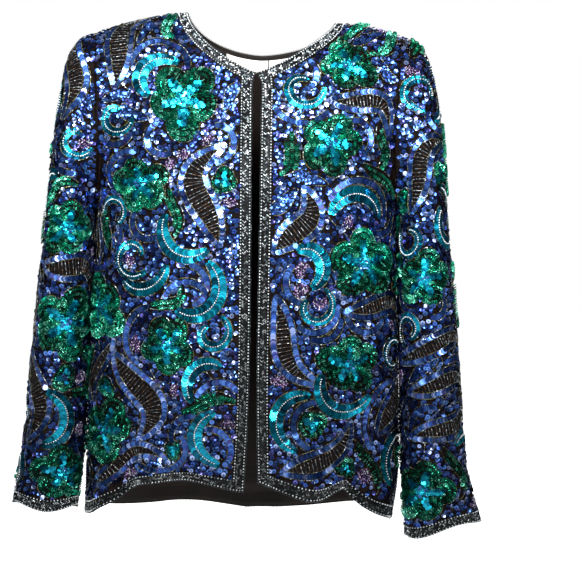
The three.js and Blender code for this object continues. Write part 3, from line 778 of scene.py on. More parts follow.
def sewOn(name, kind, place, facing, along, size, tint):
    # turns points into sewn sequins or beads, as one plain mesh
    plan = sewing[kind]
    made = plainMesh(name, place)
    perPoint = (("facing", facing, "FLOAT_VECTOR", "vector"), ("along", along, "FLOAT_VECTOR", "vector"),
                ("size", size, "FLOAT", "value"), ("tint", tint, "FLOAT_COLOR", "color"))
    for label, values, form, field in perPoint:
        attribute = made.data.attributes.new(label, form, "POINT")
        attribute.data.foreach_set(field, np.ascontiguousarray(values, np.float32).ravel())
    modifier = made.modifiers.new("sewing", "NODES")
    modifier.node_group = plan["tree"]
    sockets = {item.name: item.identifier for item in plan["tree"].interface.items_tree
               if item.in_out == "INPUT"}
    modifier[sockets["Material"]] = materials[plan["material"]]
    for label, value in plan["sizes"].items():
        modifier[sockets[label]] = value
    evaluated = made.evaluated_get(bpy.context.evaluated_depsgraph_get())
    mesh = bpy.data.meshes.new_from_object(evaluated)
    made.modifiers.remove(modifier)
    points = made.data
    made.data = mesh
    bpy.data.meshes.remove(points)
    mesh.name = name
    for label in ("facing", "along", "size"):
        if label in mesh.attributes:
            mesh.attributes.remove(mesh.attributes[label])
    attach(made, "root")
    return made


# painted shade: how far the sequins and beads are darkened towards the hem, where less light falls, and the
# heights in metres between which it grows
paintedHemShade = {"share": 0.52, "from": -0.3, "to": -0.56}


class Stitches:
    # what is to be sewn on one piece of cloth, kept by kind until all of it is known

    def __init__(self, cloth):
        self.cloth = cloth
        self.kinds = {}

    def add(self, kind, spots, heading, tint, size=1.0, tilt=0.0, lean=0.0, lift=0.7):
        # tilt is the angle away from the way out, lean the way of that tilt from the heading
        count = len(spots)
        if count == 0:
            return
        wide = [np.broadcast_to(np.asarray(value, float), (count,)) for value in (size, tilt, lean, lift)]
        colours = np.broadcast_to(np.asarray(tint, float), (count, 3))
        headings = np.broadcast_to(heading, (count, 2))
        self.kinds.setdefault(kind, []).append((spots, headings, colours, *wide))

    def sew(self, slot, name):
        pieces = []
        for kind, parts in self.kinds.items():
            columns = [np.concatenate(column) for column in zip(*parts)]
            spots, heading, tint, size, tilt, lean, lift = columns
            hit, place, out, run = self.cloth.sit(spots, heading)
            tint, size, tilt, lean, lift = (values[hit] for values in (tint, size, tilt, lean, lift))
            over = np.cross(out, run)
            leaning = run * np.cos(lean)[:, None] + over * np.sin(lean)[:, None]
            facing = out * np.cos(tilt)[:, None] + leaning * np.sin(tilt)[:, None]
            place = place + out * lift[:, None] * metre
            # painted shade: every sewn colour is darkened towards the hem, standing in for the weaker light
            # on the lower jacket
            paintedShade = mix(1, paintedHemShade["share"], smoothRise(place[:, 2], paintedHemShade["from"], paintedHemShade["to"]))
            colour = np.concatenate((tint * paintedShade[:, None], np.ones((len(tint), 1))), 1)
            piece = sewOn(f"{name}_{kind}", kind, place, facing, run, size, colour)
            pieces.append(piece)
        return pieces


# Colours of the embroidery, linear

def colourOf(hexColour):
    return np.array(shade(hexColour)[:3])


palette = {name: colourOf(value) for name, value in {
    "cobalt": "#4468ac", "royal": "#28468c", "periwinkle": "#94a8e0", "navy": "#162456",
    "violet": "#4c4c92", "emerald": "#109070", "forest": "#065644", "mint": "#74dcbc",
    "turquoise": "#18b4d0", "teal": "#0a809c", "petrol": "#06506a", "silver": "#c6ccce",
    "pewter": "#6d777c", "gunmetal": "#2c3338", "charcoal": "#0d0f12", "bronze": "#6a5442",
    "lilac": "#a78ab8", "plum": "#4c3560", "gold": "#625e3a",
}.items()}


def picked(random, count, names, shares):
    # one colour of the palette for each sequin, a little lighter or darker than it
    chosen = random.choice(len(names), count, p=np.array(shares) / sum(shares))
    colours = np.array([palette[name] for name in names])[chosen]
    return np.clip(colours * random.uniform(0.5, 1.5, (count, 1)), 0, 1)


# The embroidery's own layout. Every motif is a blob round a centre or a stroke along a spine,
# drawn on the flat pattern, and the map of small cells keeps them off each other.

cell = 1.5
clearance = {"edge": 1.6, "band": 1.2, "margin": 4, "around": 8}


class Blob:
    def __init__(self, centre, radius, lobes, notch, turn, squeeze):
        self.centre = np.array(centre, float)
        self.radius, self.lobes, self.notch, self.turn, self.squeeze = radius, lobes, notch, turn, squeeze

    def reach(self, angle):
        wave = np.abs(np.cos(self.lobes / 2 * (angle - self.turn))) ** 0.7
        oval = 1 / np.sqrt(np.cos(angle - self.turn) ** 2 + (np.sin(angle - self.turn) / self.squeeze) ** 2)
        uneven = 1 + 0.09 * np.sin(2 * angle + self.turn * 5) + 0.07 * np.sin(3 * angle - self.turn * 7)
        return self.radius * uneven * oval * (1 - self.notch + self.notch * wave)

    def inside(self, spots, grow=0.0):
        reach, angle = self.wayTo(spots)
        return reach < self.reach(angle) + grow

    def wayTo(self, spots):
        # how far spots are from the centre, and in which direction
        away = spots - self.centre
        return np.hypot(away[:, 0], away[:, 1]), np.arctan2(away[:, 1], away[:, 0])

    def samples(self):
        angle = np.linspace(0, 2 * math.pi, 40, endpoint=False)
        way = np.stack((np.cos(angle), np.sin(angle)), 1) * self.reach(angle)[:, None]
        return np.concatenate([self.centre + way * share for share in (0.35, 0.7, 1)])

    def ring(self, inset):
        angle = np.linspace(0, 2 * math.pi, 361)
        reach = np.maximum(self.reach(angle) - inset, 0.01)
        return self.centre + np.stack((np.cos(angle), np.sin(angle)), 1) * reach[:, None]


class Stroke:
    def __init__(self, spine, halfWidth):
        self.spine, self.halfWidth = spine, halfWidth
        self.run = unit(np.gradient(spine, axis=0))
        self.side = np.stack((-self.run[:, 1], self.run[:, 0]), 1)

    def inside(self, spots, grow=0.0):
        gap = ((spots[:, None] - self.spine[None]) ** 2).sum(2)
        return (gap < (self.halfWidth + grow) ** 2).any(1)

    def samples(self):
        return np.concatenate([self.offset(share)[::3] for share in (-1, -0.5, 0, 0.5, 1)])

    def offset(self, share, inset=0.0):
        width = np.maximum(self.halfWidth * abs(share) - inset, 0) * np.sign(share)
        return self.spine + self.side * width[:, None]


def evenSteps(line, gap, start=0.5):
    # points at even distances along a line, and the way that it runs there
    run = lengthsAlong(line)
    at = np.arange(start * gap, run[-1], gap)
    spots = np.stack([np.interp(at, run, line[:, k]) for k in (0, 1)], 1)
    ahead = np.stack([np.interp(at + 0.5, run, line[:, k]) for k in (0, 1)], 1)
    behind = np.stack([np.interp(at - 0.5, run, line[:, k]) for k in (0, 1)], 1)
    return spots, unit(ahead - behind)


def curlSpine(centre, radius, start, sweep, tighten):
    share = np.linspace(0, 1, 90)
    angle = start + sweep * share
    reach = radius * (1 - tighten * share)
    return np.array(centre) + np.stack((np.cos(angle), np.sin(angle)), 1) * reach[:, None]


def bendSpine(start, heading, length, bend):
    share = np.linspace(0, 1, 80)
    along = np.array([math.cos(heading), math.sin(heading)])
    side = np.array([-along[1], along[0]])
    sway = bend * length * (4 * share * (1 - share) - 0.35 * np.sin(2 * math.pi * share))
    return np.array(start) + along * (share * length)[:, None] + side * sway[:, None]


class CellMap:
    # 0 where the cloth is free, -1 outside the part to be embroidered, else a motif's number

    def __init__(self, cloth, trimLines):
        self.low = cloth.flat.min((0, 1)) - clearance["margin"]
        size = np.ceil((cloth.flat.max((0, 1)) + clearance["margin"] - self.low) / cell).astype(int)
        self.x, self.y = (self.low[k] + (np.arange(size[k]) + 0.5) * cell for k in (0, 1))
        self.room = np.full(size, -1)
        spots = np.stack(np.meshgrid(self.x, self.y, indexing="ij"), -1).reshape(-1, 2)
        free = insideOutline(spots, cloth.outline)
        free[free] = farFrom(spots[free], cloth.outline, clearance["edge"])
        for line in trimLines:
            free[free] = farFrom(spots[free], line, cut["trimWidth"] + clearance["band"])
        self.room[free.reshape(size)] = 0

    def read(self, spots):
        index = np.floor((spots - self.low) / cell).astype(int)
        inside = ((index >= 0) & (index < self.room.shape)).all(1)
        values = np.full(len(spots), -1)
        values[inside] = self.room[index[inside, 0], index[inside, 1]]
        return values

    def stamp(self, motif, number, grow):
        samples = motif.samples()
        around = clearance["around"]
        low = np.maximum(np.floor((samples.min(0) - around - self.low) / cell).astype(int), 0)
        high = np.ceil((samples.max(0) + around - self.low) / cell).astype(int)
        x, y = self.x[low[0]:high[0]], self.y[low[1]:high[1]]
        if len(x) == 0 or len(y) == 0:
            return
        spots = np.stack(np.meshgrid(x, y, indexing="ij"), -1).reshape(-1, 2)
        inside = motif.inside(spots, grow).reshape(len(x), len(y))
        part = self.room[low[0]:high[0], low[1]:high[1]]
        part[inside & (part == 0)] = number


def insideOutline(spots, outline):
    inside = np.zeros(len(spots), bool)
    x, y = spots[:, 0], spots[:, 1]
    for a, b in zip(outline, np.roll(outline, -1, 0)):
        crosses = (a[1] > y) != (b[1] > y)
        if a[1] != b[1]:
            inside ^= crosses & (x < (b[0] - a[0]) * (y - a[1]) / (b[1] - a[1]) + a[0])
    return inside


def farFrom(spots, line, distance):
    near = np.zeros(len(spots), bool)
    run = lengthsAlong(line)
    at = np.arange(0, run[-1], 2.0)
    for x, y in zip(np.interp(at, run, line[:, 0]), np.interp(at, run, line[:, 1])):
        near |= (spots[:, 0] - x) ** 2 + (spots[:, 1] - y) ** 2 < distance ** 2
    return ~near


# One function for each kind of motif. It adds its sequins and beads to the stitches.

# sizes in mm, angles in radians, a pair of numbers is a range
cordPlan = {"gap": 2.9, "lift": 1.4, "outside": 0.6}
standPlan = {"period": 7, "size": (0.94, 1.06), "tilt": 0.92, "tiltWave": 0.16, "unevenTilt": 0.07,
             "mostTilt": 1.3, "leanWave": 0.3, "unevenLean": 0.14, "lift": 2.4}
stackPlan = {"period": 5, "tilt": 0.24, "tiltWave": 0.12, "unevenTilt": 0.02, "leanWave": 1.2,
             "unevenLean": 0.12, "lift": 1.3, "discWidth": 6.2}
flowerPlan = {"rowGap": 6.8, "sequinGap": 3.0, "starShare": 0.66, "starGap": 4.2, "starWaist": 0.34,
              "firstRow": 3.3, "lastRow": 0.9, "narrowest": 3, "clearOfStar": 1.2, "scatter": 0.35,
              "discSize": (0.95, 1.1), "heartShare": 0.3, "heartSize": (0.7, 0.8), "lift": 2.2}
scrollPlan = {"sequinGap": 2.0, "beadGap": 3.1, "rowShare": 0.52, "narrowest": 2, "sequinShare": 0.162,
              "beadSize": 1.05, "beadLift": 2.4}
leafPlan = {"slatGap": 4.6, "edgeWidth": 7.4, "sequinGap": 2.3, "ribbonWidth": 7.8, "bugleGap": 2.5,
            "bugleSize": 0.55, "narrowest": 1.6, "lift": 1.1}
frondPlan = {"rowGap": 6.4, "sequinGap": 3.0, "edge": 0.8, "fewest": 5}
dropPlan = {"cupGap": 4.0, "edge": 1.5, "cupSize": (0.8, 0.95), "lift": 0.6}
ovalPlan = {"beadGap": 1.9, "scatter": 0.3, "reach": 1.2, "beadSize": (0.8, 1.1), "lift": (0.6, 1.6)}
groundPlan = {"gap": 6.0, "jitter": 1.9, "sewnShare": 0.93, "cupSize": (0.86, 1.08), "tilt": 0.3,
              "lift": (0.5, 1.6)}
vinePlan = {"density": 85, "length": (70, 150), "bend": (-0.35, 0.35)}
anyWay = (0, 6.28)
looseTilt = (0, 0.4)


def slowWave(random, count, period):
    # neighbours along a row catch the light together
    at = np.arange(count) / period
    return 0.6 * np.sin(at + random.uniform(*anyWay)) + 0.4 * np.sin(2.7 * at + random.uniform(*anyWay))


def sewCord(stitches, cells, line, numbers, random):
    spots, heading = evenSteps(line, cordPlan["gap"])
    kept = np.isin(cells.read(spots), numbers)
    spots, heading = spots[kept], heading[kept]
    tint = picked(random, len(spots), ("gold", "pewter", "silver", "charcoal"), (5, 2, 1, 4))
    stitches.add("cord", spots, heading, tint, lift=cordPlan["lift"])


def cordBothSides(stitches, cells, stroke, number, random):
    for share in (1, -1):
        sewCord(stitches, cells, stroke.offset(share, -cordPlan["outside"]), (number, 0), random)


def hexSpots(low, high, gap):
    rows = np.arange(low[1], high[1], gap * 0.866)
    lines = np.arange(low[0], high[0], gap)
    x, y = np.meshgrid(lines, rows)
    x = x + (np.arange(len(rows)) % 2)[:, None] * gap / 2
    return np.stack((x.ravel(), y.ravel()), 1)


def sewStandingRow(stitches, spots, heading, names, shares, random):
    # small sequins that stand on edge behind each other, so that a row looks like a chain
    count = len(spots)
    wave = slowWave(random, count, standPlan["period"])
    tint = picked(random, count, names, shares)
    size = random.uniform(*standPlan["size"], count)
    uneven = random.normal(0, standPlan["unevenTilt"], count)
    tilt = np.clip(standPlan["tilt"] + standPlan["tiltWave"] * wave + uneven, 0, standPlan["mostTilt"])
    lean = standPlan["leanWave"] * wave + random.normal(0, standPlan["unevenLean"], count)
    stitches.add("curls", spots, heading, tint, size, tilt, lean, standPlan["lift"])


def sewStack(stitches, spots, heading, names, shares, size, random):
    # flat sequins laid over each other like tiles
    count = len(spots)
    wave = slowWave(random, count, stackPlan["period"])
    tint = picked(random, count, names, shares)
    uneven = random.normal(0, stackPlan["unevenTilt"], count)
    tilt = stackPlan["tilt"] + stackPlan["tiltWave"] * wave + uneven
    lean = stackPlan["leanWave"] * wave + random.normal(0, stackPlan["unevenLean"], count)
    stitches.add("discs", spots, heading, tint, size, tilt, lean, stackPlan["lift"])


def sewLooseCups(stitches, spots, names, shares, sizes, lift, random):
    count = len(spots)
    tint = picked(random, count, names, shares)
    size = random.uniform(*sizes, count)
    tilt = random.uniform(*looseTilt, count)
    stitches.add("cups", spots, (1, 0), tint, size, tilt, random.uniform(*anyWay, count), lift)


def sewFlower(stitches, cells, blob, number, random):
    # rows of standing sequins round a star of flat ones
    plan = flowerPlan

    def starReach(angle):
        wave = np.abs(np.cos(blob.lobes / 2 * (angle - blob.turn))) ** 3
        return blob.reach(angle) * plan["starShare"] * (plan["starWaist"] + (1 - plan["starWaist"]) * wave)

    # the pale mint is partly the sequins' own green and partly painted highlight, raised in share to stand
    # in for the light that the rows catch
    names = ("emerald", "forest", "mint")
    inset = plan["firstRow"]
    while inset < blob.radius * plan["lastRow"]:
        spots, heading = evenSteps(blob.ring(inset), plan["sequinGap"], random.uniform(0, 1))
        reach, angle = blob.wayTo(spots)
        kept = (cells.read(spots) == number) & (reach > starReach(angle) + plan["clearOfStar"])
        kept &= blob.reach(angle) - inset > plan["narrowest"]
        sewStandingRow(stitches, spots[kept], heading[kept], names, (5, 3, 2.4), random)
        inset += plan["rowGap"]
    spots = hexSpots(blob.centre - blob.radius, blob.centre + blob.radius, plan["starGap"])
    spots = spots + random.normal(0, plan["scatter"], spots.shape)
    reach, angle = blob.wayTo(spots)
    kept = (reach < starReach(angle)) & (cells.read(spots) == number)
    count = kept.sum()
    lean = angle[kept] + random.normal(0, 0.5, count)
    tint = picked(random, count, ("turquoise", "teal", "petrol"), (3, 3, 1))
    size = random.uniform(*plan["discSize"], count)
    tilt = np.abs(random.normal(0.12, 0.16, count))
    stitches.add("discs", spots[kept], (1, 0), tint, size, tilt, lean, plan["lift"])
    heart = spots[kept & (reach < blob.radius * plan["starShare"] * plan["heartShare"])]
    names = ("turquoise", "cobalt")
    sewLooseCups(stitches, heart, names, (2, 1), plan["heartSize"], plan["lift"], random)
    sewCord(stitches, cells, blob.ring(-cordPlan["outside"]), (number, 0), random)


def sewScroll(stitches, cells, stroke, number, random):
    # two stacked rows with a line of silver beads between them
    plan = scrollPlan
    for side, names in ((1, ("turquoise", "teal")), (-1, ("teal", "petrol"))):
        line = stroke.offset(side * plan["rowShare"])
        spots, heading = evenSteps(line, plan["sequinGap"])
        at = (np.arange(len(spots)) + 0.5) * plan["sequinGap"]
        width = np.interp(at, lengthsAlong(line), stroke.halfWidth)
        kept = (cells.read(spots) == number) & (width > plan["narrowest"])
        size = width[kept] * plan["sequinShare"]
        sewStack(stitches, spots[kept], heading[kept], names, (1, 2), size, random)
    spots, heading = evenSteps(stroke.spine[5:-5], plan["beadGap"])
    kept = cells.read(spots) == number
    tint = picked(random, kept.sum(), ("silver",), (1,))
    stitches.add("beads", spots[kept], heading[kept], tint, plan["beadSize"], lift=plan["beadLift"])
    cordBothSides(stitches, cells, stroke, number, random)


def sewLeaf(stitches, cells, stroke, number, random):
    # two bands of stacked sequins round a dark middle that lines of bugle beads cross
    plan = leafPlan
    edge = plan["edgeWidth"]
    names = ("cobalt", "royal", "periwinkle", "violet")
    for share in (1, -1):
        spots, heading = evenSteps(stroke.offset(share, edge / 2), plan["sequinGap"])
        kept = cells.read(spots) == number
        size = edge / stackPlan["discWidth"]
        sewStack(stitches, spots[kept], heading[kept], names, (5, 3, 2, 1), size, random)
        sewCord(stitches, cells, stroke.offset(share, -0.5), (number, 0), random)
        sewCord(stitches, cells, stroke.offset(share, edge + 0.3), (number,), random)
    run = lengthsAlong(stroke.spine)
    for at in np.arange(4, run[-1] - 3, plan["slatGap"]):
        index = int(np.searchsorted(run, at))
        reach = stroke.halfWidth[index] - edge - 1
        if reach < plan["narrowest"]:
            continue
        steps = np.arange(-reach + 1, reach - 0.4, plan["bugleGap"])
        spots = stroke.spine[index] + stroke.side[index] * steps[:, None]
        kept = cells.read(spots) == number
        tint = picked(random, kept.sum(), ("pewter", "bronze", "gunmetal", "silver"), (3, 2, 3, 1))
        stitches.add("bugles", spots[kept], stroke.side[index], tint, plan["bugleSize"], lift=plan["lift"])


def sewRibbon(stitches, cells, stroke, number, random):
    spots, heading = evenSteps(stroke.spine, leafPlan["sequinGap"])
    kept = cells.read(spots) == number
    size = leafPlan["ribbonWidth"] / stackPlan["discWidth"]
    sewStack(stitches, spots[kept], heading[kept], ("cobalt", "royal", "violet"), (5, 4, 1), size, random)
    cordBothSides(stitches, cells, stroke, number, random)


def sewFrond(stitches, cells, stroke, number, random):
    plan = frondPlan
    widest = stroke.halfWidth.max()
    # the pale mint is partly the sequins' own green and partly painted highlight, standing in for the light
    # that the rows catch
    names = ("emerald", "mint", "forest")
    for offset in np.arange(-widest, widest, plan["rowGap"]) + plan["rowGap"] / 2:
        inside = stroke.halfWidth > abs(offset) + plan["edge"]
        line = (stroke.spine + stroke.side * offset)[inside]
        if len(line) < plan["fewest"]:
            continue
        spots, heading = evenSteps(line, plan["sequinGap"], random.uniform(0, 1))
        kept = cells.read(spots) == number
        sewStandingRow(stitches, spots[kept], heading[kept], names, (5, 3, 2), random)
    cordBothSides(stitches, cells, stroke, number, random)


def sewDrop(stitches, cells, stroke, number, random):
    samples = stroke.samples()
    spots = hexSpots(samples.min(0), samples.max(0), dropPlan["cupGap"]) + random.uniform(0, 1, 2)
    kept = (cells.read(spots) == number) & stroke.inside(spots, -dropPlan["edge"])
    names = ("royal", "cobalt", "navy")
    sewLooseCups(stitches, spots[kept], names, (4, 3, 1), dropPlan["cupSize"], dropPlan["lift"], random)
    rim = np.concatenate((stroke.offset(1), stroke.offset(-1)[::-1]))
    sewCord(stitches, cells, rim, (number, 0), random)


def sewOval(stitches, cells, blob, number, random):
    plan = ovalPlan
    reach = blob.radius * plan["reach"]
    spots = hexSpots(blob.centre - reach, blob.centre + reach, plan["beadGap"])
    spots = spots + random.normal(0, plan["scatter"], spots.shape)
    kept = cells.read(spots) == number
    count = kept.sum()
    tint = picked(random, count, ("lilac", "plum", "silver", "navy"), (3, 4, 1.5, 2))
    size = random.uniform(*plan["beadSize"], count)
    stitches.add("grains", spots[kept], (1, 0), tint, size, lift=random.uniform(*plan["lift"], count))


def sewGround(stitches, cells, random):
    # loose cups between the motifs
    plan = groundPlan
    spots = hexSpots((cells.x[0], cells.y[0]), (cells.x[-1], cells.y[-1]), plan["gap"])
    spots = spots + random.uniform(-1, 1, spots.shape) * plan["jitter"]
    kept = (cells.read(spots) == 0) & (random.uniform(0, 1, len(spots)) < plan["sewnShare"])
    count = kept.sum()
    tint = picked(random, count, ("cobalt", "royal", "periwinkle", "violet", "navy"), (6, 5, 2.5, 1.5, 5))
    size = random.uniform(*plan["cupSize"], count)
    tilt = np.abs(random.normal(0, plan["tilt"], count))
    lean = random.uniform(*anyWay, count)
    stitches.add("cups", spots[kept], (1, 0), tint, size, tilt, lean, random.uniform(*plan["lift"], count))


def taper(count, full, power):
    return full * np.sin(np.linspace(0.06, math.pi - 0.06, count)) ** power


# The kinds of motif. A blob lies round a centre, a curl turns round one, and a bend sways along a line.
blobs = {
    "flower": {"radius": (36, 50), "lobes": 5, "notch": 0.3, "squeeze": 1.0},
    "bud": {"radius": (15, 22), "lobes": 3, "notch": 0.2, "squeeze": 0.8},
    "oval": {"radius": (7.5, 10.5), "lobes": 2, "notch": 0.1, "squeeze": 0.75},
}
curls = {
    "hook": {"radius": (30, 46), "sweep": (2.2, 3.4), "tighten": (0.1, 0.5), "halfWidth": (8.5, 10.5),
             "power": 0.35},
    "spiral": {"radius": (22, 28), "sweep": (4.6, 5.8), "tighten": (0.5, 0.62), "halfWidth": (5.2, 6.4),
               "power": 0.35},
    "ribbon": {"radius": (24, 50), "sweep": (1.8, 3.2), "tighten": (-0.3, 0.4),
               "halfWidth": leafPlan["ribbonWidth"] / 2 + 0.4, "power": 0.15},
}
bends = {
    "leaf": {"length": (90, 160), "bend": (0.14, 0.3), "halfWidth": (15, 22), "power": 0.6},
    "frond": {"length": (50, 85), "bend": (0.1, 0.25), "halfWidth": (6.5, 9.5), "power": 0.6},
    "drop": {"length": (38, 58), "bend": (0.05, 0.16), "halfWidth": (10, 13)},
}


def makeMotif(kind, random, spot):
    turn = random.uniform(0, 2 * math.pi)
    hand = random.choice((-1, 1))
    if kind in blobs:
        plan = blobs[kind]
        radius = random.uniform(*plan["radius"])
        return Blob(spot, radius, plan["lobes"], plan["notch"], turn, plan["squeeze"])
    if kind in curls:
        plan = curls[kind]
        radius = random.uniform(*plan["radius"])
        sweep = hand * random.uniform(*plan["sweep"])
        spine = curlSpine(spot, radius, turn, sweep, random.uniform(*plan["tighten"]))
        fixed = isinstance(plan["halfWidth"], float)
        halfWidth = plan["halfWidth"] if fixed else random.uniform(*plan["halfWidth"])
        return Stroke(spine, taper(len(spine), halfWidth, plan["power"]))
    plan = bends[kind]
    length = random.uniform(*plan["length"])
    spine = bendSpine(spot, turn, length, hand * random.uniform(*plan["bend"]))
    halfWidth = random.uniform(*plan["halfWidth"])
    if kind == "drop":  # pointed at its start and round at its end
        share = np.linspace(0, 1, len(spine))
        return Stroke(spine, halfWidth * np.sqrt(share) * np.sqrt(np.maximum(1 - share ** 4, 0)))
    return Stroke(spine, taper(len(spine), halfWidth, plan["power"]))


# what sews each kind of motif, and how many of it there are to a square metre
motifPlans = {
    "flower": (sewFlower, 32), "hook": (sewScroll, 42), "leaf": (sewLeaf, 44), "spiral": (sewScroll, 26),
    "frond": (sewFrond, 44), "ribbon": (sewRibbon, 105), "bud": (sewFlower, 30), "drop": (sewDrop, 34),
    "oval": (sewOval, 60),
}
packing = {"tries": 220, "goodFit": 0.96, "leastFit": 0.74}


def bestPlace(kind, cells, free, random):
    # the first of some random places where nearly all of the motif is on free cloth, or the best
    best, bestFit = None, packing["leastFit"]
    for _ in range(packing["tries"]):
        spot = cells.low + (free[random.integers(len(free))] + 0.5) * cell
        motif = makeMotif(kind, random, spot)
        fit = (cells.read(motif.samples()) == 0).mean()
        if fit > bestFit:
            best, bestFit = motif, fit
        if fit > packing["goodFit"]:
            break
    return best


def embroider(cloth, trimLines, seed, area):
    # puts in the large motifs first, each where it has room, and then the small ones and the ground
    random = np.random.default_rng(seed)
    cells = CellMap(cloth, trimLines)
    free = np.argwhere(cells.room == 0)
    motifs = []
    for kind, (sewMotif, density) in motifPlans.items():
        for _ in range(round(density * area)):
            motif = bestPlace(kind, cells, free, random)
            if motif:
                motifs.append((sewMotif, motif))
                cells.stamp(motif, len(motifs), 1.0)
    stitches = Stitches(cloth)
    for number, (sewMotif, motif) in enumerate(motifs, 1):
        sewMotif(stitches, cells, motif, number, random)
    for _ in range(round(vinePlan["density"] * area)):
        spot = cells.low + (free[random.integers(len(free))] + 0.5) * cell
        spine = bendSpine(spot, random.uniform(*anyWay), random.uniform(*vinePlan["length"]),
                          random.uniform(*vinePlan["bend"]))
        sewCord(stitches, cells, spine, (0,), random)
    sewGround(stitches, cells, random)
    return stitches


# The cloth itself: one layer on the form, given its wall inwards, with the lining's black inside

def gridMesh(name, place, out, closed):
    rows, lines = place.shape[:2]
    number = np.arange(rows * lines).reshape(rows, lines)
    a, b, c, d = number[:-1, :-1], number[:-1, 1:], number[1:, 1:], number[1:, :-1]
    faces = np.stack((a, b, c, d), -1).reshape(-1, 4)
    points = place.reshape(-1, 3)
    first = points[faces[:, 1]] - points[faces[:, 0]]
    second = points[faces[:, 3]] - points[faces[:, 0]]
    if (np.cross(first, second) * out.reshape(-1, 3)[faces[:, 0]]).sum() < 0:
        faces = faces[:, ::-1]
    made = plainMesh(name, points * metre, faces.tolist())
    if closed:
        shell = bmesh.new()
        shell.from_mesh(made.data)
        bmesh.ops.remove_doubles(shell, verts=shell.verts, dist=1e-6)
        shell.to_mesh(made.data)
        shell.free()
    for face in made.data.polygons:
        face.use_smooth = True
    return made


def giveWall(made, wall, offset, inner=0):
    modifier = made.modifiers.new("wall", "SOLIDIFY")
    modifier.thickness = wall * metre
    modifier.offset = offset
    modifier.material_offset = inner
    modifier.material_offset_rim = 0


def clothShell(cloth):
    made = gridMesh(f"{cloth.name}_cloth", cloth.place, cloth.out, cloth.closed)
    made.data.materials.append(materials["ground"])
    made.data.materials.append(materials["lining"])
    giveWall(made, cut["clothWall"], -1, 1)
    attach(made, "root")
    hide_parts(cloth.name)
    return made


# The beaded band along the edges

bandPlan = {
    "rows": (("grains", -0.6, 0.7, "gunmetal", 2.3), ("beads", 1.4, 1.05, "silver", 3.8),
             ("beads", 12.4, 1.05, "silver", 3.8)),
    "bugleColumns": ((4.4, 1), (6.9, -1), (9.4, 1)), "bugleGap": 2.2, "slant": 0.75,
    "bugleSize": 0.72, "bugleLift": 1.8, "rowLift": 2.1, "unevenSize": (0.92, 1.08),
    # painted light and shade: the bugles run from darker low on a band to lighter near the neck, between
    # these heights on the pattern
    "paintedLightRange": (0.5, 2.0), "paintedLightHeights": (-380, -60),
}


def insetLine(line, distance, side):
    # the line moved sideways by a distance, with its corners kept sharp
    run = unit(np.diff(line, axis=0))
    normal = side * np.stack((-run[:, 1], run[:, 0]), 1)
    before = np.concatenate((normal[:1], normal))
    after = np.concatenate((normal, normal[-1:]))
    sharp = 1 + (before * after).sum(1, keepdims=True)
    return line + distance * (before + after) / np.maximum(sharp, 0.35)


def clearOf(line, moved, distance):
    # the moved line without the loop that it makes inside a sharp corner
    fine = np.concatenate([mix(line[:-1], line[1:], share) for share in (0.0, 0.25, 0.5, 0.75)])
    gap = np.sqrt(((moved[:, None] - fine[None]) ** 2).sum(2)).min(1)
    return moved[gap > distance * 0.95 - 0.05]


def bandSide(line, outline):
    # which side of an edge line the cloth lies on
    middle = len(line) // 2
    run = unit(line[middle + 1] - line[middle])
    probe = line[middle] + 3 * np.array([-run[1], run[0]])
    return 1 if insideOutline(probe[None], outline)[0] else -1


def sewBand(name, cloth, line, slot, seed):
    random = np.random.default_rng(seed)
    side = bandSide(line, cloth.outline)
    rings = [insetLine(line, cut["trimWidth"] * share, side) for share in (0.0, 0.25, 0.5, 0.75, 1.0)]
    upwards = np.tile((0.0, 1.0), (len(line), 1))
    lifted = []
    for ring in rings:
        _, place, out, _ = cloth.sit(ring, upwards)
        lifted.append(place + out * cut["seamGap"] * metre)
    grid = np.stack(lifted, 1) / metre
    reference = np.repeat(out[:, None], len(rings), 1)
    band = gridMesh(f"{name}_band", grid, reference, cloth.closed)
    band.data.materials.append(materials["band"])
    giveWall(band, cut["trimWall"], 1)
    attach(band, "root")
    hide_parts(name)
    stitches = Stitches(cloth)
    for kind, inset, size, colour, gap in bandPlan["rows"]:
        spots, heading = evenSteps(clearOf(line, insetLine(line, inset, side), inset), gap)
        tint = picked(random, len(spots), (colour, "pewter"), (6, 1))
        uneven = random.uniform(*bandPlan["unevenSize"], len(spots))
        stitches.add(kind, spots, heading, tint, size * uneven, lift=bandPlan["rowLift"])
    for inset, lean in bandPlan["bugleColumns"]:
        spots, heading = evenSteps(clearOf(line, insetLine(line, inset, side), inset), bandPlan["bugleGap"])
        turn = math.pi / 2 - lean * bandPlan["slant"]
        x, y = heading.T
        slanted = np.stack((x * math.cos(turn) - y * math.sin(turn),
                            x * math.sin(turn) + y * math.cos(turn)), 1)
        tint = picked(random, len(spots), ("gunmetal", "charcoal", "pewter", "silver"), (2, 6, 2, 2.4))
        # painted light: the bugle tint is scaled by height, darker low down and lighter towards the neck
        bright = mix(*bandPlan["paintedLightRange"], smoothRise(spots[:, 1], *bandPlan["paintedLightHeights"]))
        tint = np.clip(tint * bright[:, None], 0, 1)
        stitches.add("bugles", spots, slanted, tint, bandPlan["bugleSize"], lift=bandPlan["bugleLift"])
    pieces = stitches.sew(slot, name)


def columnAt(lines, share):
    return int(np.argmin(np.abs(lines - share)))


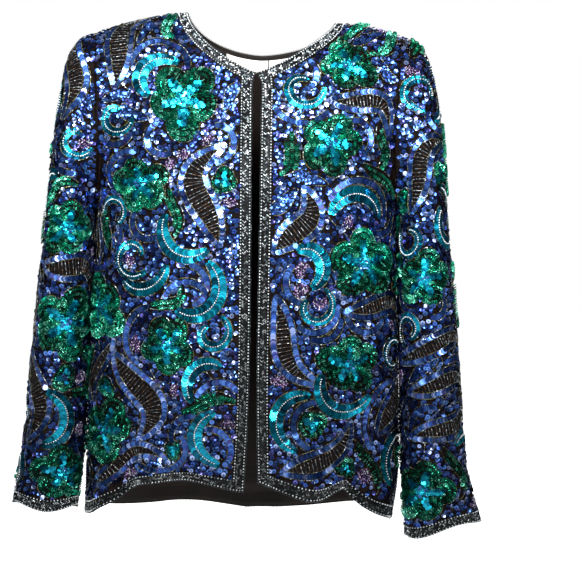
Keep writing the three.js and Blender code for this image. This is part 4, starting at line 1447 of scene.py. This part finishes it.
def rowLines(cloth):
    vent = columnAt(panelRows, cut["ventTop"])
    if cloth.name.startswith("front"):
        neck = columnAt(frontLines, cut["neckShare"])
        line = np.concatenate((cloth.flat[-1, neck::-1], cloth.flat[-2::-1, 0], cloth.flat[0, 1:],
                               cloth.flat[1:vent + 1, -1]))
        return {f"trim_{cloth.name}": line}
    if cloth.name == "back":
        neckStart = columnAt(backLines, -cut["neckShare"])
        neckEnd = columnAt(backLines, cut["neckShare"])
        neck = cloth.flat[-1, neckStart:neckEnd + 1]
        hem = np.concatenate((cloth.flat[vent::-1, 0], cloth.flat[0, 1:], cloth.flat[1:vent + 1, -1]))
        return {"trim_back_neck": neck, "trim_back_hem": hem}
    return {cloth.name.replace("sleeve", "trim_cuff"): cloth.flat[-1]}


seeds = {"front_right": 11, "front_left": 23, "back": 37, "sleeve_right": 41, "sleeve_left": 53}


def outlineArea(outline):
    # in square metres
    after = np.roll(outline, -1, 0)
    return float(abs((outline[:, 0] * after[:, 1] - outline[:, 1] * after[:, 0]).sum()) / 2 * metre ** 2)


def flatSize(cloth):
    span = (cloth.flat.max((0, 1)) - cloth.flat.min((0, 1))) * metre
    return tuple(float(value) for value in span), outlineArea(cloth.outline)


for clothName, cloth in cloths.items():
    trims = rowLines(cloth)
    shell = clothShell(cloth)
    size, area = flatSize(cloth)
    stitches = embroider(cloth, list(trims.values()), seeds[clothName], area)
    sewn = stitches.sew("beaded_cloth", clothName)
    for number, (trimName, line) in enumerate(trims.items()):
        sewBand(trimName, cloth, line, "beaded_band", seeds[clothName] + 100 + number)
    print(clothName, "embroidered, flat", [round(value, 3) for value in size], round(area, 4))


# The lining of the back, and the two blank tabs inside the neck

def makeLining():
    cloth = cloths["back"]
    depth = cut["clothWall"] + cut["seamGap"]
    rows, lines = slice(3, None, 2), slice(6, -6, 2)
    inner = (cloth.place - cloth.out * depth)[rows, lines]
    made = gridMesh("back_lining", inner, cloth.out[rows, lines], False)
    made.data.materials.append(materials["lining"])
    giveWall(made, cut["liningWall"], -1)
    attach(made, "root")
    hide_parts("lining_back")


# a woven tab's left and right edge on the back's pattern, and its top and bottom below the neck edge
tabPlan = {"label": (-35.8, 22.8, 6.8, 24), "size_tab": (24.3, 52.8, 6.8, 22)}


def makeTab(name, left, right, top, bottom):
    cloth = cloths["back"]
    depth = (cut["clothWall"] + 2 * cut["seamGap"] + cut["liningWall"]) * metre
    across = np.linspace(left, right, 13)
    neck = np.interp(across, cloth.flat[-1, :, 0], cloth.flat[-1, :, 1])
    spots = np.stack([np.stack((across, neck - down), 1) for down in np.linspace(bottom, top, 6)])
    _, place, out, _ = cloth.sit(spots.reshape(-1, 2), np.ones((spots[..., 0].size, 2)))
    place = (place - out * depth).reshape(*spots.shape[:2], 3) / metre
    made = gridMesh(f"{name}_tab", place, out.reshape(place.shape), False)
    made.data.materials.append(materials["label"])
    giveWall(made, cut["labelWall"], -1)
    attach(made, "root")
    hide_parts(name)


makeLining()
for tabName, tabSizes in tabPlan.items():
    makeTab(tabName, *tabSizes)
print("lining and tabs made")


# Floor, lights and camera

view = {"x": 0.0528, "z": -0.363, "distance": 1.6, "width": 0.7656, "sensor": 36.0}
studio = {"floorDrop": 0.16, "floorSize": 30.0, "floorColour": "#f4f4f4", "paleColour": "#fcfcfc",
          "dim": 0.06}
lightPlans = {
    "window": {"place": (-0.55, -0.95, 0.7), "size": 0.5, "watts": 30, "colour": (0.97, 0.99, 1)},
    "lamp": {"place": (0.25, -0.85, 0.34), "size": 0.26, "watts": 16, "colour": (1, 1, 1)},
    "glint": {"place": (-0.3, -1.2, -0.12), "size": 0.14, "watts": 9, "colour": (1, 1, 1)},
    "side": {"place": (1.3, -0.7, 0.5), "size": 0.6, "watts": 13, "colour": (0.94, 0.97, 1)},
    "behind": {"place": (0.6, 2.4, 1.6), "size": 1.4, "watts": 30, "colour": (1, 1, 1)},
}
lightAim = Vector((0, 0, -0.25))


def addCamera():
    data = bpy.data.cameras.new("camera")
    data.sensor_width = view["sensor"]
    data.lens = view["sensor"] * view["distance"] / view["width"]
    camera = bpy.data.objects.new("camera", data)
    camera.location = (view["x"], -view["distance"], view["z"])
    camera.rotation_euler = (math.pi / 2, 0, 0)
    bpy.context.scene.collection.objects.link(camera)
    bpy.context.scene.camera = camera


def addLight(name, plan):
    data = bpy.data.lights.new(name, "AREA")
    data.size = plan["size"]
    data.energy = plan["watts"]
    data.color = plan["colour"]
    light = bpy.data.objects.new(name, data)
    light.location = plan["place"]
    light.rotation_euler = (lightAim - Vector(plan["place"])).to_track_quat("-Z", "Y").to_euler()
    bpy.context.scene.collection.objects.link(light)


def seenByCamera(tree):
    # white behind the jacket, but dim in what the sequins mirror
    path = tree.nodes.new("ShaderNodeLightPath")
    inputs = {"Value": path.outputs["Is Camera Ray"], "To Min": studio["dim"], "To Max": 1.0}
    return node(tree, "ShaderNodeMapRange", inputs).outputs[0]


def addFloor():
    low = cadBox[0][2] - studio["floorDrop"]
    half = studio["floorSize"] / 2
    corners = [(-half, -half, low), (half, -half, low), (half, half, low), (-half, half, low)]
    floor = plainMesh("floor", corners, [(0, 1, 2, 3)])
    material, tree, shader = newMaterial("paleFloor", Roughness=0.9)
    shader.inputs["Emission Color"].default_value = (1, 1, 1, 1)
    tree.links.new(seenByCamera(tree), shader.inputs["Emission Strength"])
    coordinates = node(tree, "ShaderNodeTexCoord").outputs["Object"]
    patches = node(tree, "ShaderNodeTexNoise", {"Vector": coordinates, "Scale": 2.0})
    colour = graded(tree, patches.outputs[0], shade(studio["floorColour"]), shade(studio["paleColour"]))
    tree.links.new(colour, shader.inputs["Base Color"])
    floor.data.materials.append(material)


def addWorld():
    world = bpy.data.worlds.new("studio")
    world.use_nodes = True
    tree = world.node_tree
    background = tree.nodes["Background"]
    background.inputs["Color"].default_value = (1.0, 1.0, 1.0, 1.0)
    tree.links.new(seenByCamera(tree), background.inputs["Strength"])
    bpy.context.scene.world = world
    bpy.context.scene.view_settings.view_transform = "Standard"


addCamera()
addFloor()
addWorld()
for lightName, lightPlan in lightPlans.items():
    addLight(lightName, lightPlan)
print("stage set")
